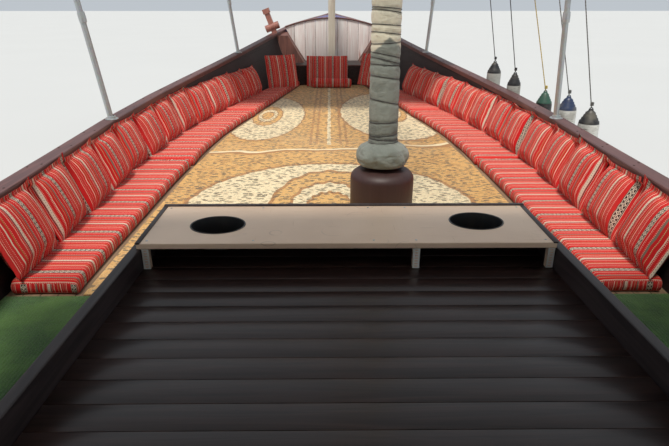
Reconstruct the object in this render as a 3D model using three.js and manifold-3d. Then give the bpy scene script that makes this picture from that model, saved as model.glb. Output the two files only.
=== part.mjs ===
// A wooden dhow about 20.5 m long, afloat, with cushioned side seats along both bulwarks, a raised
// engine hatch that serves as a table, a wrapped mast, awnings on tubular frames, a furled lateen
// sail on its yard, a poop deck with a helm, and an outboard rudder and propeller.
// Millimetres. +Y is the bow, +X starboard, +Z up, and z = 0 is the waterline.

import * as THREE from 'three';
import { mergeVertices } from 'three/addons/utils/BufferGeometryUtils.js';
import Module from 'manifold-3d';

const wasm = await Module();
wasm.setup();

// Driving dimensions

const TOUCH = 0.3; // gap between pieces that rest on each other along cut or sloping faces

const STEM_Y = 10300; // rail end at the stem
const STERN_Y = -10200; // rail end at the transom
const RABBET_Z = -1050; // lowest hull planking
const KEEL_Z = -1250; // underside of the keel
const KEEL_HALF = 60; // half the width of hull planking at the rabbet
const POST_HALF = 70; // half the width of keel, stem post and stern post
const STEM_FOOT_Y = 6600;
const STERN_FOOT_Y = -9000;
const BOW_RAKE_FROM = 3000; // the frames lean with the stem from here forward
const STERN_RAKE_FROM = -6000; // and with the stern post from here aft

const DECK_Z = 1100; // top of the main deck planks
const DECK_THICK = 45;
const DECK_UNDER = DECK_Z - DECK_THICK;
const RAIL_HEIGHT = 600; // rail cap above the deck amidships
const BULWARK_THICK = 70;
const CAP_WIDTH = 145;
const CAP_THICK = 60;
const CAP_OVERHANG = 40;
const STRAKE_OUT = 45; // how far a rub strake stands proud
const STRAKE_HEIGHT = 90;
const UPPER_STRAKE_DROP = 230; // from the rail to the top of the upper rub strake
const LOWER_STRAKE_Z = 950; // top of the lower one

const PLATFORM_Y = 6850; // front face of the low bow platform
const PLATFORM_Z = DECK_Z + 420;
const FORECASTLE_Y = 7850; // aft end of the raised forecastle
const BULKHEAD_THICK = 50;
const FORECASTLE_CROWN = 190;
const FLARE_LENGTH = 450;
const POOP_Y = -6600; // front of the poop
const POOP_Z = 1650;

const WELL = { x: 620, aft: -4000, fore: -2500, floor: -250 }; // engine well in the hull
const HATCH = { x: 40, aft: -4200, fore: -2280, halfAft: 1080, halfFore: 1030, top: 1720 };
const HATCH_WALL = 48;
const HATCH_LEDGE = 50;
const HATCH_PLANK_Z = 1610;
const HATCH_PLANK_THICK = 45;
const BOARD = { x0: -974, x1: 1036, y0: -2840, y1: -2316, thick: 28 };
const BOARD_HOLES = [[-626, -2607], [713, -2565]]; // x, y
const BOARD_HOLE = { rx: 136, ry: 114 };
const BRACKET_XS = [-935, 365, 1015];

const MAST = { x: 382, y: -860, rake: THREE.MathUtils.degToRad(2.5), length: 6900 };
const MAST_R = { foot: 98, head: 70 };
const DRUM = { r: 265, height: 440 };
const STEP_UP = 370; // origin of the mast above the deck, inside the drum

const SEAT_THICK = 95;
const SEAT_FROM = -2210;
const SEAT_JOINTS = [640, 3550]; // where one mattress ends and the next begins
const SEAT_GAP = 12;
// A back cushion stands against the bulwark: its foot, belly and top, in from the inner face and up
const CUSHION = {
  pitch: 585,
  section: [[-110, 0], [-30, 0], [-45, 440], [-75, 510], [-150, 500], [-215, 200]],
};
const RUG_THICK = 8;
const TURF_THICK = 14;

const AWNING_Z = DECK_Z + 2450; // side tubes of the awning frames
const AWNING_CROWN = 180;
const TUBE_R = 28;
const CANOPY_THICK = 14;

const FENDER_LENGTH = 620;

const STERN_POST_DEPTH = 180;
const RUDDER_AXIS = 225; // behind the end of the hull, square to the stern post
const RUDDER_HALF = 32;
const PROP = { y: -8600, z: -600, r: 350 };
const APERTURE = { y0: -8850, y1: -8350, z0: -985, z1: -215 };

const HELM = { y: -7750, x: 0, width: 460, depth: 280, height: 880, wheelZ: 2380, wheelR: 320 };

// Tables

// half the breadth over the rail caps: y, half-breadth
const BREADTH = [
  [STERN_Y, 1420], [-9000, 1680], [-7500, 1915], [-6000, 2060], [-4000, 2160], [-1800, 2250],
  [300, 2345], [1300, 2315], [2800, 2150], [5000, 1780], [6700, 1450], [7800, 1210], [8800, 880],
  [9600, 490], [10050, 215], [STEM_Y, KEEL_HALF + CAP_OVERHANG],
];
// form of the frames: y, deadwood share of the height, roundness, fullness
const FORM = [
  [STERN_Y, 0.36, 1.6, 0.7], [-8200, 0.27, 1.7, 0.72], [-6000, 0.12, 1.9, 0.68],
  [-3000, 0, 2.2, 0.62], [1000, 0, 2.3, 0.6], [4000, 0, 2, 0.7], [6500, 0, 1.7, 0.8],
  [8500, 0, 1.35, 1], [STEM_Y, 0, 1.1, 1.15],
];
const STATIONS = [
  STERN_Y, -9700, -9000, -8200, -7400, -6400, -5200, -3800, -2400, -1000, 300, 1600, 2800, 4000,
  5200, 6400, 7400, 8200, 8900, 9500, 9950, STEM_Y,
];
const LEVELS = [0, 0.06, 0.14, 0.24, 0.36, 0.5, 0.64, 0.78, 0.9, 1]; // shares of a frame's height
// inner edge of the side seats: y, half-breadth
const SEAT_EDGE = [
  [-2400, 1615], [-900, 1600], [650, 1565], [2200, 1450], [3800, 1180], [6260, 775], [7000, 655],
];
// awning poles: y, port foot x, port head x, starboard foot x, starboard head x
const POLES_AFT = [
  [-9000, -1585, -1620, 1585, 1620], [-6500, -1925, -1980, 1925, 1980],
  [-3150, -2095, -2120, 2095, 2120],
];
const POLES_FORE = [[300, -2245, -2500, 2245, 2150], [5000, -1680, -1880, 1680, 1810]];
// fenders: y, x and height above the deck of the upper end, radius
const FENDERS = [
  [2700, 2270, 900, 98], [2000, 2340, 830, 88], [1400, 2530, 690, 96], [800, 2560, 730, 104],
  [220, 2550, 700, 104],
];

// Finishes: colour, roughness, metalness

const FINISH = {
  topsides: [0x6b4a2f, 0.7, 0],
  keel: [0x4a3626, 0.8, 0],
  deck: [0x8a6f52, 0.7, 0],
  bulwark: [0x3a2b28, 0.6, 0],
  cap: [0x4b2a26, 0.5, 0],
  post: [0xcfc5ad, 0.6, 0],
  bulkhead: [0xe6ddda, 0.6, 0],
  flare: [0x8c5a4e, 0.7, 0],
  forecastle: [0x6c6c95, 0.6, 0],
  bitt: [0x9a6455, 0.6, 0],
  dark: [0x2c1d1a, 0.45, 0],
  board: [0xb9ad9c, 0.5, 0],
  mast: [0x8c7350, 0.7, 0],
  canvas: [0xcfcab4, 0.9, 0],
  fabric: [0xb5323a, 0.95, 0],
  rug: [0x9c8160, 0.95, 0],
  turf: [0x4c8c3a, 0.95, 0],
  tube: [0x9aa0a0, 0.35, 0.9],
  awning: [0xe4dfd0, 0.9, 0],
  fender: [0xdedcd6, 0.5, 0],
  rope: [0x8f8a78, 0.95, 0],
  sail: [0xd9d2bd, 0.95, 0],
  engine: [0x4c5a52, 0.5, 0.3],
  bronze: [0x9a7b43, 0.35, 0.9],
};

// Curves through the tables

function linear(rows, column) {
  return (y) => {
    let i = 1;
    while (i < rows.length - 1 && y > rows[i][0]) i += 1;
    const share = THREE.MathUtils.clamp((y - rows[i - 1][0]) / (rows[i][0] - rows[i - 1][0]), 0, 1);
    return THREE.MathUtils.lerp(rows[i - 1][column], rows[i][column], share);
  };
}

function smooth(rows) {
  const slope = rows.map((row, i) => {
    const a = rows[Math.max(0, i - 1)];
    const b = rows[Math.min(rows.length - 1, i + 1)];
    return (b[1] - a[1]) / (b[0] - a[0]);
  });
  return (y) => {
    let i = 1;
    while (i < rows.length - 1 && y > rows[i][0]) i += 1;
    const [ya, va] = rows[i - 1];
    const [yb, vb] = rows[i];
    const span = yb - ya;
    const t = THREE.MathUtils.clamp((y - ya) / span, 0, 1);
    const h = t * t * (3 - 2 * t);
    const in0 = t * (1 - t) * (1 - t) * span * slope[i - 1];
    const in1 = t * t * (t - 1) * span * slope[i];
    return va + (vb - va) * h + in0 + in1;
  };
}

const halfBreadth = smooth(BREADTH);
const deadwood = linear(FORM, 1);
const roundness = linear(FORM, 2);
const fullness = linear(FORM, 3);
const seatEdge = smooth(SEAT_EDGE);

function railZ(y) {
  const bow = 550 * Math.max(0, (y + 200) / 8500) ** 1.7;
  const stern = 650 * Math.max(0, (-y - 2000) / 8200) ** 1.8;
  return DECK_Z + RAIL_HEIGHT + bow + stern;
}

// The rail runs straight from station to station, and so does what rests on it
const railLine = linear(STATIONS.map((y) => [y, railZ(y)]), 1);
const capLine = linear(STATIONS.map((y) => [y, halfBreadth(y)]), 1);

// Hull surface: station is the frame's y at the rail, share its height from rabbet to rail cap

function frameFoot(station) {
  if (station > BOW_RAKE_FROM) {
    const share = (station - BOW_RAKE_FROM) / (STEM_Y - BOW_RAKE_FROM);
    return THREE.MathUtils.lerp(BOW_RAKE_FROM, STEM_FOOT_Y, share);
  }
  if (station < STERN_RAKE_FROM) {
    const share = (station - STERN_RAKE_FROM) / (STERN_Y - STERN_RAKE_FROM);
    return THREE.MathUtils.lerp(STERN_RAKE_FROM, STERN_FOOT_Y, share);
  }
  return station;
}

function frameTop(station) {
  return railZ(station) - CAP_THICK;
}

function hullPoint(station, share, inset = 0) {
  const foot = frameFoot(station);
  const bend = station > BOW_RAKE_FROM ? 0.85 : 1;
  const y = foot + (station - foot) * share ** bend;
  const z = THREE.MathUtils.lerp(RABBET_Z, frameTop(station), share);
  const rise = Math.max(0, (share - deadwood(station)) / (1 - deadwood(station)));
  const form = (1 - (1 - Math.min(rise, 1)) ** roundness(station)) ** fullness(station);
  const half = halfBreadth(station) - CAP_OVERHANG;
  const x = KEEL_HALF + (half - KEEL_HALF) * form - inset;
  return new THREE.Vector3(x, y, z);
}

// Half-breadth of the hull at a height, for a frame that passes through y there
function hullHalf(y, z, inset = 0) {
  let low = STERN_Y;
  let high = STEM_Y;
  for (let i = 0; i < 40; i += 1) {
    const mid = (low + high) / 2;
    const share = (z - RABBET_Z) / (frameTop(mid) - RABBET_Z);
    if (hullPoint(mid, share).y < y) low = mid;
    else high = mid;
  }
  const station = (low + high) / 2;
  return hullPoint(station, (z - RABBET_Z) / (frameTop(station) - RABBET_Z), inset).x;
}

// Solids

function meshGeometry(positions, index) {
  const geometry = new THREE.BufferGeometry();
  geometry.setAttribute('position', new THREE.Float32BufferAttribute(positions, 3));
  geometry.setIndex(index);
  return geometry;
}

function signedVolume(positions, index) {
  const a = new THREE.Vector3();
  const b = new THREE.Vector3();
  const c = new THREE.Vector3();
  let sum = 0;
  for (let i = 0; i < index.length; i += 3) {
    a.fromArray(positions, index[i] * 3);
    b.fromArray(positions, index[i + 1] * 3);
    c.fromArray(positions, index[i + 2] * 3);
    sum += a.dot(b.cross(c));
  }
  return sum;
}

// A closed solid through matching outlines that stand across Y, each a list of Vector3
function loft(sections) {
  const count = sections[0].length;
  const positions = sections.flat().flatMap((point) => [point.x, point.y, point.z]);
  const index = [];
  for (let i = 0; i + 1 < sections.length; i += 1) {
    for (let j = 0; j < count; j += 1) {
      const a = i * count + j;
      const b = i * count + ((j + 1) % count);
      index.push(a, b, b + count, a, b + count, a + count);
    }
  }
  for (const end of [0, sections.length - 1]) {
    const contour = sections[end].map((point) => new THREE.Vector2(point.x, point.z));
    const turn = Math.sign(THREE.ShapeUtils.area(contour)) * (end === 0 ? -1 : 1);
    for (const face of THREE.ShapeUtils.triangulateShape(contour, [])) {
      const area = THREE.ShapeUtils.area(face.map((k) => contour[k]));
      const [p, q, r] = face.map((k) => end * count + k);
      index.push(...(Math.sign(area) === turn ? [p, q, r] : [p, r, q]));
    }
  }
  if (signedVolume(positions, index) < 0) {
    for (let i = 0; i < index.length; i += 3) {
      [index[i + 1], index[i + 2]] = [index[i + 2], index[i + 1]];
    }
  }
  return meshGeometry(positions, index);
}

function solid(geometry) {
  const bare = geometry.clone();
  bare.deleteAttribute('normal');
  bare.deleteAttribute('uv');
  const merged = mergeVertices(bare, 1e-3);
  return new wasm.Manifold(new wasm.Mesh({
    numProp: 3,
    vertProperties: new Float32Array(merged.attributes.position.array),
    triVerts: new Uint32Array(merged.index.array),
  }));
}

function geometryOf(manifold) {
  const mesh = manifold.getMesh();
  return meshGeometry(Array.from(mesh.vertProperties), Array.from(mesh.triVerts));
}

function block(x0, x1, y0, y1, z0, z1) {
  const geometry = new THREE.BoxGeometry(x1 - x0, y1 - y0, z1 - z0);
  return geometry.translate((x0 + x1) / 2, (y0 + y1) / 2, (z0 + z1) / 2);
}

function slabOf(points, z0, z1) {
  const shape = new THREE.Shape(points.map(([x, y]) => new THREE.Vector2(x, y)));
  return new THREE.ExtrudeGeometry(shape, { depth: z1 - z0, bevelEnabled: false }).translate(0, 0, z0);
}

// An outline in the Y-Z plane, given as y, z pairs, drawn across X
function plateAcross(points, x0, x1) {
  const shape = new THREE.Shape(points.map(([y, z]) => new THREE.Vector2(y, z)));
  const geometry = new THREE.ExtrudeGeometry(shape, { depth: x1 - x0, bevelEnabled: false });
  const turn = new THREE.Matrix4().makeBasis(
    new THREE.Vector3(0, 1, 0),
    new THREE.Vector3(0, 0, 1),
    new THREE.Vector3(1, 0, 0),
  );
  return geometry.applyMatrix4(turn).translate(x0, 0, 0);
}

function turned(profile, segments) {
  const points = profile.map(([r, z]) => new THREE.Vector2(r, z));
  return new THREE.LatheGeometry(points, segments).rotateX(Math.PI / 2);
}

// A straight round bar between two points
function bar(from, to, radius, sides) {
  const along = new THREE.Vector3().subVectors(to, from);
  const geometry = new THREE.CylinderGeometry(radius, radius, along.length(), sides);
  const turn = new THREE.Quaternion().setFromUnitVectors(
    new THREE.Vector3(0, 1, 0),
    along.clone().normalize(),
  );
  const middle = new THREE.Vector3().addVectors(from, to).multiplyScalar(0.5);
  return geometry.applyQuaternion(turn).translate(middle.x, middle.y, middle.z);
}

// A bent round tube through points; across is a direction that no stretch of it follows
function pipe(points, radius, sides, across) {
  const rings = points.map((point, i) => {
    const before = points[Math.max(0, i - 1)];
    const after = points[Math.min(points.length - 1, i + 1)];
    const along = new THREE.Vector3().subVectors(after, before).normalize();
    const u = new THREE.Vector3().crossVectors(across, along).normalize();
    const v = new THREE.Vector3().crossVectors(along, u);
    return Array.from({ length: sides }, (_, k) => {
      const angle = (2 * Math.PI * k) / sides;
      return point.clone().addScaledVector(u, radius * Math.cos(angle))
        .addScaledVector(v, radius * Math.sin(angle));
    });
  });
  const index = [];
  for (let i = 0; i + 1 < rings.length; i += 1) {
    for (let j = 0; j < sides; j += 1) {
      const a = i * sides + j;
      const b = i * sides + ((j + 1) % sides);
      index.push(a, b, b + sides, a, b + sides, a + sides);
    }
  }
  const last = (rings.length - 1) * sides;
  for (let j = 1; j + 1 < sides; j += 1) {
    index.push(0, j + 1, j, last, last + j, last + j + 1);
  }
  return meshGeometry(rings.flat().flatMap((p) => [p.x, p.y, p.z]), index);
}

function join(geometries) {
  return geometryOf(geometries.map(solid).reduce((sum, next) => sum.add(next)));
}

function cut(geometry, tools) {
  return geometryOf(tools.map(solid).reduce((rest, tool) => rest.subtract(tool), solid(geometry)));
}

function common(a, b) {
  return geometryOf(solid(a).intersect(solid(b)));
}

function vec(x, y, z) {
  return new THREE.Vector3(x, y, z);
}

// Groups and meshes

const dhow = new THREE.Group();

const stern = new THREE.Group(); // local +Z runs up the stern post, -Y points aft of it
const sternRake = Math.atan2(STERN_FOOT_Y - STERN_Y, railZ(STERN_Y) - CAP_THICK - RABBET_Z);
stern.position.set(0, STERN_FOOT_Y, RABBET_Z);
stern.rotation.x = sternRake;
dhow.add(stern);

const rig = new THREE.Group(); // local +Z runs up the mast
rig.position.set(MAST.x, MAST.y, DECK_Z + STEP_UP);
rig.rotation.x = -MAST.rake;
dhow.add(rig);

function piece(name, geometry, finish, parent = dhow) {
  const [color, roughness, metalness] = FINISH[finish];
  const material = new THREE.MeshStandardMaterial({ color, roughness, metalness });
  const mesh = new THREE.Mesh(geometry, material);
  mesh.name = name;
  parent.add(mesh);
  return mesh;
}

// Hull

function frameOutline(station) {
  const side = LEVELS.map((share) => hullPoint(station, share));
  const port = side.map((p) => vec(-p.x, p.y, p.z)).reverse();
  return [...port, ...side];
}

// A plank that stands proud of the hull on one side; topOf gives its upper edge at a station
function rubStrake(side, topOf) {
  const between = STATIONS.slice(1, -1).map((station, i) => (station + STATIONS[i]) / 2);
  return loft([STERN_Y, ...between, 9800].map((station) => {
    const corners = [[0, -30], [0, STRAKE_OUT], [STRAKE_HEIGHT, STRAKE_OUT], [STRAKE_HEIGHT, -30]];
    return corners.map(([below, out]) => {
      const share = (topOf(station) - below - RABBET_Z) / (frameTop(station) - RABBET_Z);
      const p = hullPoint(station, share, -out);
      return vec(side * p.x, p.y, p.z);
    });
  }));
}

// Everything below the rail caps' tops, moved up by lift
function belowRail(lift) {
  return loft(STATIONS.map((station) => {
    const z = railZ(station) + lift;
    return [vec(-4000, station, 0), vec(4000, station, 0), vec(4000, station, z), vec(-4000, station, z)];
  }));
}

// The space inside the hull planking, from below the deck to above the rail
function innerVolume(inset) {
  const sections = STATIONS.map((station) => {
    const top = frameTop(station);
    const shares = [0.45, 0.6, 0.7, 0.8, 0.9, 1, 1 + 900 / (top - RABBET_Z)];
    const side = shares.map((share) => {
      const p = hullPoint(station, Math.min(share, 1), inset);
      return vec(Math.max(p.x, 4), p.y, THREE.MathUtils.lerp(RABBET_Z, top, share));
    });
    return [...side.map((p) => vec(-p.x, p.y, p.z)).reverse(), ...side];
  });
  const past = sections[0].map((p) => vec(p.x, p.y - 400, p.z));
  return loft([past, ...sections]);
}

const hull = join([
  loft(STATIONS.map(frameOutline)),
  ...[(y) => railZ(y) - UPPER_STRAKE_DROP, () => LOWER_STRAKE_Z].flatMap(
    (topOf) => [rubStrake(-1, topOf), rubStrake(1, topOf)],
  ),
]);
const aboveDeck = block(-4000, 4000, -12000, FORECASTLE_Y, DECK_UNDER, 4500);
const well = block(-WELL.x, WELL.x, WELL.aft, WELL.fore, WELL.floor, DECK_UNDER + 200);
const shaftBore = bar(vec(0, APERTURE.y1 - 20, PROP.z), vec(0, APERTURE.y1 + 260, PROP.z), 25, 16);
const aperture = block(-400, 400, APERTURE.y0, APERTURE.y1, APERTURE.z0, APERTURE.z1);
piece('hull_body', cut(hull, [aboveDeck, well, aperture, shaftBore]), 'topsides');

piece(
  'keel',
  block(-POST_HALF, POST_HALF, STERN_FOOT_Y - 190, STEM_FOOT_Y, KEEL_Z, RABBET_Z),
  'keel',
);

function stemPost() {
  const inner = LEVELS.map((share) => hullPoint(STEM_Y, share)).map((p) => [p.y + TOUCH, p.z]);
  const head = [STEM_Y + 30, railZ(STEM_Y) + 130];
  const outer = [[STEM_FOOT_Y + 330, KEEL_Z + 60]];
  for (const share of [0.14, 0.36, 0.64, 0.9]) {
    const p = hullPoint(STEM_Y, share);
    outer.push([p.y + 250, p.z - 40]);
  }
  outer.push([STEM_Y + 210, railZ(STEM_Y) - 60], [STEM_Y + 200, railZ(STEM_Y) + 130]);
  const foot = [[STEM_FOOT_Y + TOUCH, KEEL_Z], [STEM_FOOT_Y + 200, KEEL_Z]];
  return plateAcross([...foot, ...outer, head, ...inner.reverse()], -POST_HALF, POST_HALF);
}
piece('stem_post', stemPost(), 'keel');

// Bulwarks and rail caps

const SIDES = [['port', -1], ['starboard', 1]];
const planking = common(hull, block(-4000, 4000, -12000, FORECASTLE_Y - TOUCH, DECK_UNDER, 4500));
const walls = cut(planking, [innerVolume(BULWARK_THICK)]);
for (const [name, side] of SIDES) {
  const half = block(Math.min(0, side * 4000), Math.max(0, side * 4000), -12000, 12000, 0, 4600);
  piece(`bulwark_${name}`, common(walls, half), 'bulwark');
}

function railCap(side) {
  return loft(STATIONS.map((station) => {
    const outer = halfBreadth(station);
    const inner = Math.max(outer - CAP_WIDTH, 12);
    const top = railZ(station);
    const corners = [[inner, top - CAP_THICK + TOUCH], [outer, top - CAP_THICK + TOUCH],
      [outer, top - 12], [outer - 12, top], [inner + 8, top], [inner, top - 8]];
    return corners.map(([x, z]) => vec(side * x, station, z));
  }));
}
for (const [name, side] of SIDES) {
  piece(`rail_cap_${name}`, railCap(side), 'cap');
}

// Decks

const LINING = BULWARK_THICK + 2; // inset of what lies between the bulwarks
const between = innerVolume(LINING);

function fitted(x0, x1, y0, y1, z0, z1, inset = LINING) {
  return common(inset === LINING ? between : innerVolume(inset), block(x0, x1, y0, y1, z0, z1));
}

const mainDeck = fitted(-4000, 4000, POOP_Y, FORECASTLE_Y - TOUCH, DECK_UNDER, DECK_Z);
piece('main_deck', cut(mainDeck, [
  block(-WELL.x, WELL.x, WELL.aft, WELL.fore, DECK_UNDER - 50, DECK_Z + 50),
]), 'deck');

const bulkheadY = FORECASTLE_Y - BULKHEAD_THICK - 2 * TOUCH;
piece(
  'bow_platform',
  fitted(-4000, 4000, PLATFORM_Y, FORECASTLE_Y - TOUCH, DECK_Z, PLATFORM_Z),
  'dark',
);

// Half the V-shaped bulkhead and the sloping boards beside it: x at the platform, x at the rail
const V_FOOT = 620;
const V_TOP = 1050;
const vTopZ = DECK_Z + 1150;

function bulkhead() {
  const shape = new THREE.Shape();
  shape.moveTo(-V_FOOT, PLATFORM_Z);
  shape.lineTo(V_FOOT, PLATFORM_Z);
  shape.lineTo(V_TOP, vTopZ);
  shape.quadraticCurveTo(0, vTopZ + FORECASTLE_CROWN * 2, -V_TOP, vTopZ);
  const options = { depth: BULKHEAD_THICK, bevelEnabled: false, curveSegments: 10 };
  const geometry = new THREE.ExtrudeGeometry(shape, options);
  return geometry.rotateX(Math.PI / 2).translate(0, bulkheadY + BULKHEAD_THICK, 0);
}
piece('forecastle_bulkhead', bulkhead(), 'bulkhead');

for (const [name, side] of SIDES) {
  const corners = [[V_FOOT + 1, PLATFORM_Z], [V_FOOT + 700, PLATFORM_Z], [V_TOP + 400, vTopZ - 75],
    [V_TOP + 1 - 45, vTopZ - 75]];
  const wedge = loft([bulkheadY - FLARE_LENGTH, bulkheadY + BULKHEAD_THICK].map(
    (y) => corners.map(([x, z]) => vec(side * x, y, z)),
  ));
  const lining = common(wedge, between);
  piece(`flare_board_${name}`, common(lining, belowRail(-CAP_THICK - TOUCH)), 'flare');
}

function forecastleDeck() {
  const ys = [FORECASTLE_Y + 5, 8200, 8900, 9500, 9950];
  return loft(ys.map((y) => {
    const half = Math.max(capLine(y) - CAP_WIDTH - 2, 14);
    const edge = railLine(y) - CAP_THICK + TOUCH;
    const crown = CAP_THICK + FORECASTLE_CROWN * (half / capLine(FORECASTLE_Y));
    const arch = [-1, -0.75, -0.4, 0, 0.4, 0.75, 1].map(
      (share) => vec(half * share, y, edge + CAP_THICK + (crown - CAP_THICK) * (1 - share * share)),
    );
    return [vec(half, y, edge), vec(-half, y, edge), ...arch];
  }));
}
piece('forecastle_deck', forecastleDeck(), 'forecastle');

const BOW_POST = { y: 7380, half: 75 };
piece('bow_post', block(
  -BOW_POST.half,
  BOW_POST.half,
  BOW_POST.y - BOW_POST.half,
  BOW_POST.y + BOW_POST.half,
  PLATFORM_Z,
  AWNING_Z,
), 'post');

// A leaning bitt on the rail cap with a cross drum
function bitt(side) {
  const y = 7350;
  const foot = vec(side * (halfBreadth(y) - 85), y, railZ(y) - 20);
  const post = block(-55, 55, -45, 45, -50, 540);
  const drum = bar(vec(-150, 0, 150), vec(150, 0, 150), 75, 16);
  const head = block(-75, 75, -60, 60, 440, 540);
  const lean = join([post, drum, head]).rotateY(side * 0.36);
  return cut(lean.translate(foot.x, foot.y, foot.z), [belowRail(TOUCH)]);
}
for (const [name, side] of SIDES) {
  piece(`bitt_${name}`, bitt(side), 'bitt');
}

// Hatch table

function hatchRing(wall, z0, z1) {
  const outline = (inset) => [
    [HATCH.x - HATCH.halfAft + inset, HATCH.aft + inset],
    [HATCH.x + HATCH.halfAft - inset, HATCH.aft + inset],
    [HATCH.x + HATCH.halfFore - inset, HATCH.fore - inset],
    [HATCH.x - HATCH.halfFore + inset, HATCH.fore - inset],
  ];
  return cut(slabOf(outline(0), z0, z1), [slabOf(outline(wall), z0 - 10, z1 + 10)]);
}
const plankUnder = HATCH_PLANK_Z - HATCH_PLANK_THICK;
piece('hatch_coaming', join([
  hatchRing(HATCH_WALL, DECK_Z, HATCH.top),
  hatchRing(HATCH_WALL + HATCH_LEDGE, DECK_Z, plankUnder),
]), 'dark');

const plankInset = HATCH_WALL + 2;
piece('hatch_planks', slabOf([
  [HATCH.x - HATCH.halfAft + plankInset, HATCH.aft + plankInset],
  [HATCH.x + HATCH.halfAft - plankInset, HATCH.aft + plankInset],
  [HATCH.x + HATCH.halfFore - plankInset, HATCH.fore - plankInset],
  [HATCH.x - HATCH.halfFore + plankInset, HATCH.fore - plankInset],
], plankUnder, HATCH_PLANK_Z), 'dark');

function servingBoard() {
  const shape = new THREE.Shape();
  shape.moveTo(BOARD.x0, BOARD.y0);
  shape.lineTo(BOARD.x1, BOARD.y0);
  shape.lineTo(BOARD.x1, BOARD.y1);
  shape.lineTo(BOARD.x0, BOARD.y1);
  for (const [x, y] of BOARD_HOLES) {
    const hole = new THREE.Path();
    hole.absellipse(x, y, BOARD_HOLE.rx, BOARD_HOLE.ry, 0, 2 * Math.PI);
    shape.holes.push(hole);
  }
  const options = { depth: BOARD.thick, bevelEnabled: false, curveSegments: 10 };
  const top = new THREE.ExtrudeGeometry(shape, options).translate(0, 0, HATCH.top);
  const legs = BRACKET_XS.map((x) => block(
    x - 17,
    x + 17,
    BOARD.y0 + 5,
    BOARD.y0 + 35,
    HATCH_PLANK_Z,
    HATCH.top + 5,
  ));
  return join([top, ...legs]);
}
piece('serving_board', servingBoard(), 'board');

piece('engine_block', join([
  block(-330, 330, WELL.aft + 130, WELL.fore - 170, WELL.floor, WELL.floor + 620),
  block(-190, 190, WELL.aft + 200, WELL.fore - 250, WELL.floor + 600, WELL.floor + 830),
]), 'engine');

// Side seats, cushions, rug and turf

const seatSpace = innerVolume(BULWARK_THICK + 25);
const seatEnds = [SEAT_FROM, ...SEAT_JOINTS, PLATFORM_Y - SEAT_GAP];
for (const [name, side] of SIDES) {
  for (let i = 0; i < 3; i += 1) {
    const y0 = seatEnds[i] + (i > 0 ? SEAT_GAP : 0);
    const y1 = seatEnds[i + 1];
    const ys = [0, 0.25, 0.5, 0.75, 1].map((share) => THREE.MathUtils.lerp(y0, y1, share));
    const strip = loft(ys.map((y) => [
      vec(side * seatEdge(y), y, DECK_Z),
      vec(side * 3000, y, DECK_Z),
      vec(side * 3000, y, DECK_Z + SEAT_THICK),
      vec(side * seatEdge(y), y, DECK_Z + SEAT_THICK),
    ]));
    piece(`seat_mattress_${name}_${i + 1}`, common(strip, seatSpace), 'fabric');
  }
}

// Back cushions stand on the seats and lean on the bulwark, each at the angle of the side
const CUSHION_COUNT = 13;
function cushionRow(side) {
  const base = DECK_Z + SEAT_THICK + TOUCH;
  const clear = BULWARK_THICK + 8;
  const pads = [];
  let y = SEAT_FROM + CUSHION.pitch / 2;
  for (let i = 0; i < CUSHION_COUNT; i += 1) {
    const x = hullHalf(y, base, clear);
    const slope = (hullHalf(y + 200, base, clear) - hullHalf(y - 200, base, clear)) / 400;
    const turn = Math.atan(slope);
    const pad = loft([-0.51, 0.51].map((end) => (
      CUSHION.section.map(([inward, up]) => vec(inward, end * CUSHION.pitch, up))
    )));
    pad.rotateZ(-turn).translate(x, y, base);
    pads.push(side < 0 ? mirrored(pad) : pad);
    y += CUSHION.pitch * Math.cos(turn);
  }
  return common(join(pads), innerVolume(BULWARK_THICK + 3));
}

function mirrored(geometry) {
  const flipped = geometry.clone().scale(-1, 1, 1);
  const index = Array.from(flipped.index.array);
  for (let i = 0; i < index.length; i += 3) {
    [index[i + 1], index[i + 2]] = [index[i + 2], index[i + 1]];
  }
  flipped.setIndex(index);
  return flipped;
}
for (const [name, side] of SIDES) {
  piece(`back_cushions_${name}`, cushionRow(side), 'fabric');
}

// Cushions at the bow: name, x and y of the back's middle, width, height of the foot, turn
const BOW_CUSHIONS = [
  ['port', -1030, 6080, 600, SEAT_THICK, 0.45], ['centre', -100, PLATFORM_Y - 1, 860, RUG_THICK, 0],
  ['starboard', 900, 6230, 700, SEAT_THICK, -0.75],
];
for (const [name, x, y, width, foot, turn] of BOW_CUSHIONS) {
  const pad = plateAcross([
    [-260, 0], [-110, 0], [0, 400], [-20, 560], [-90, 565],
  ], -width / 2, width / 2);
  piece(`bow_cushion_${name}`, pad.rotateZ(turn).translate(x, y, DECK_Z + foot + TOUCH), 'fabric');
}
const BOLSTER = { x: -10, y: PLATFORM_Y - 400, r: 95, half: 420 };
const bolsterZ = DECK_Z + RUG_THICK + BOLSTER.r + TOUCH;
piece('bolster', bar(
  vec(BOLSTER.x - BOLSTER.half, BOLSTER.y, bolsterZ),
  vec(BOLSTER.x + BOLSTER.half, BOLSTER.y, bolsterZ),
  BOLSTER.r,
  16,
), 'fabric');

const rugYs = [SEAT_FROM + 10, -900, 650, 2200, 3800, 5300, PLATFORM_Y - 6];
const rug = loft(rugYs.map((y) => {
  const half = seatEdge(y) - 14;
  return [vec(-half, y, DECK_Z), vec(half, y, DECK_Z), vec(half, y, DECK_Z + RUG_THICK),
    vec(-half, y, DECK_Z + RUG_THICK)];
}));
const drumHole = new THREE.CylinderGeometry(DRUM.r + 15, DRUM.r + 15, 400, 32).rotateX(Math.PI / 2);
piece('deck_rug', cut(rug, [drumHole.translate(MAST.x, MAST.y, DECK_Z)]), 'rug');

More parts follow.
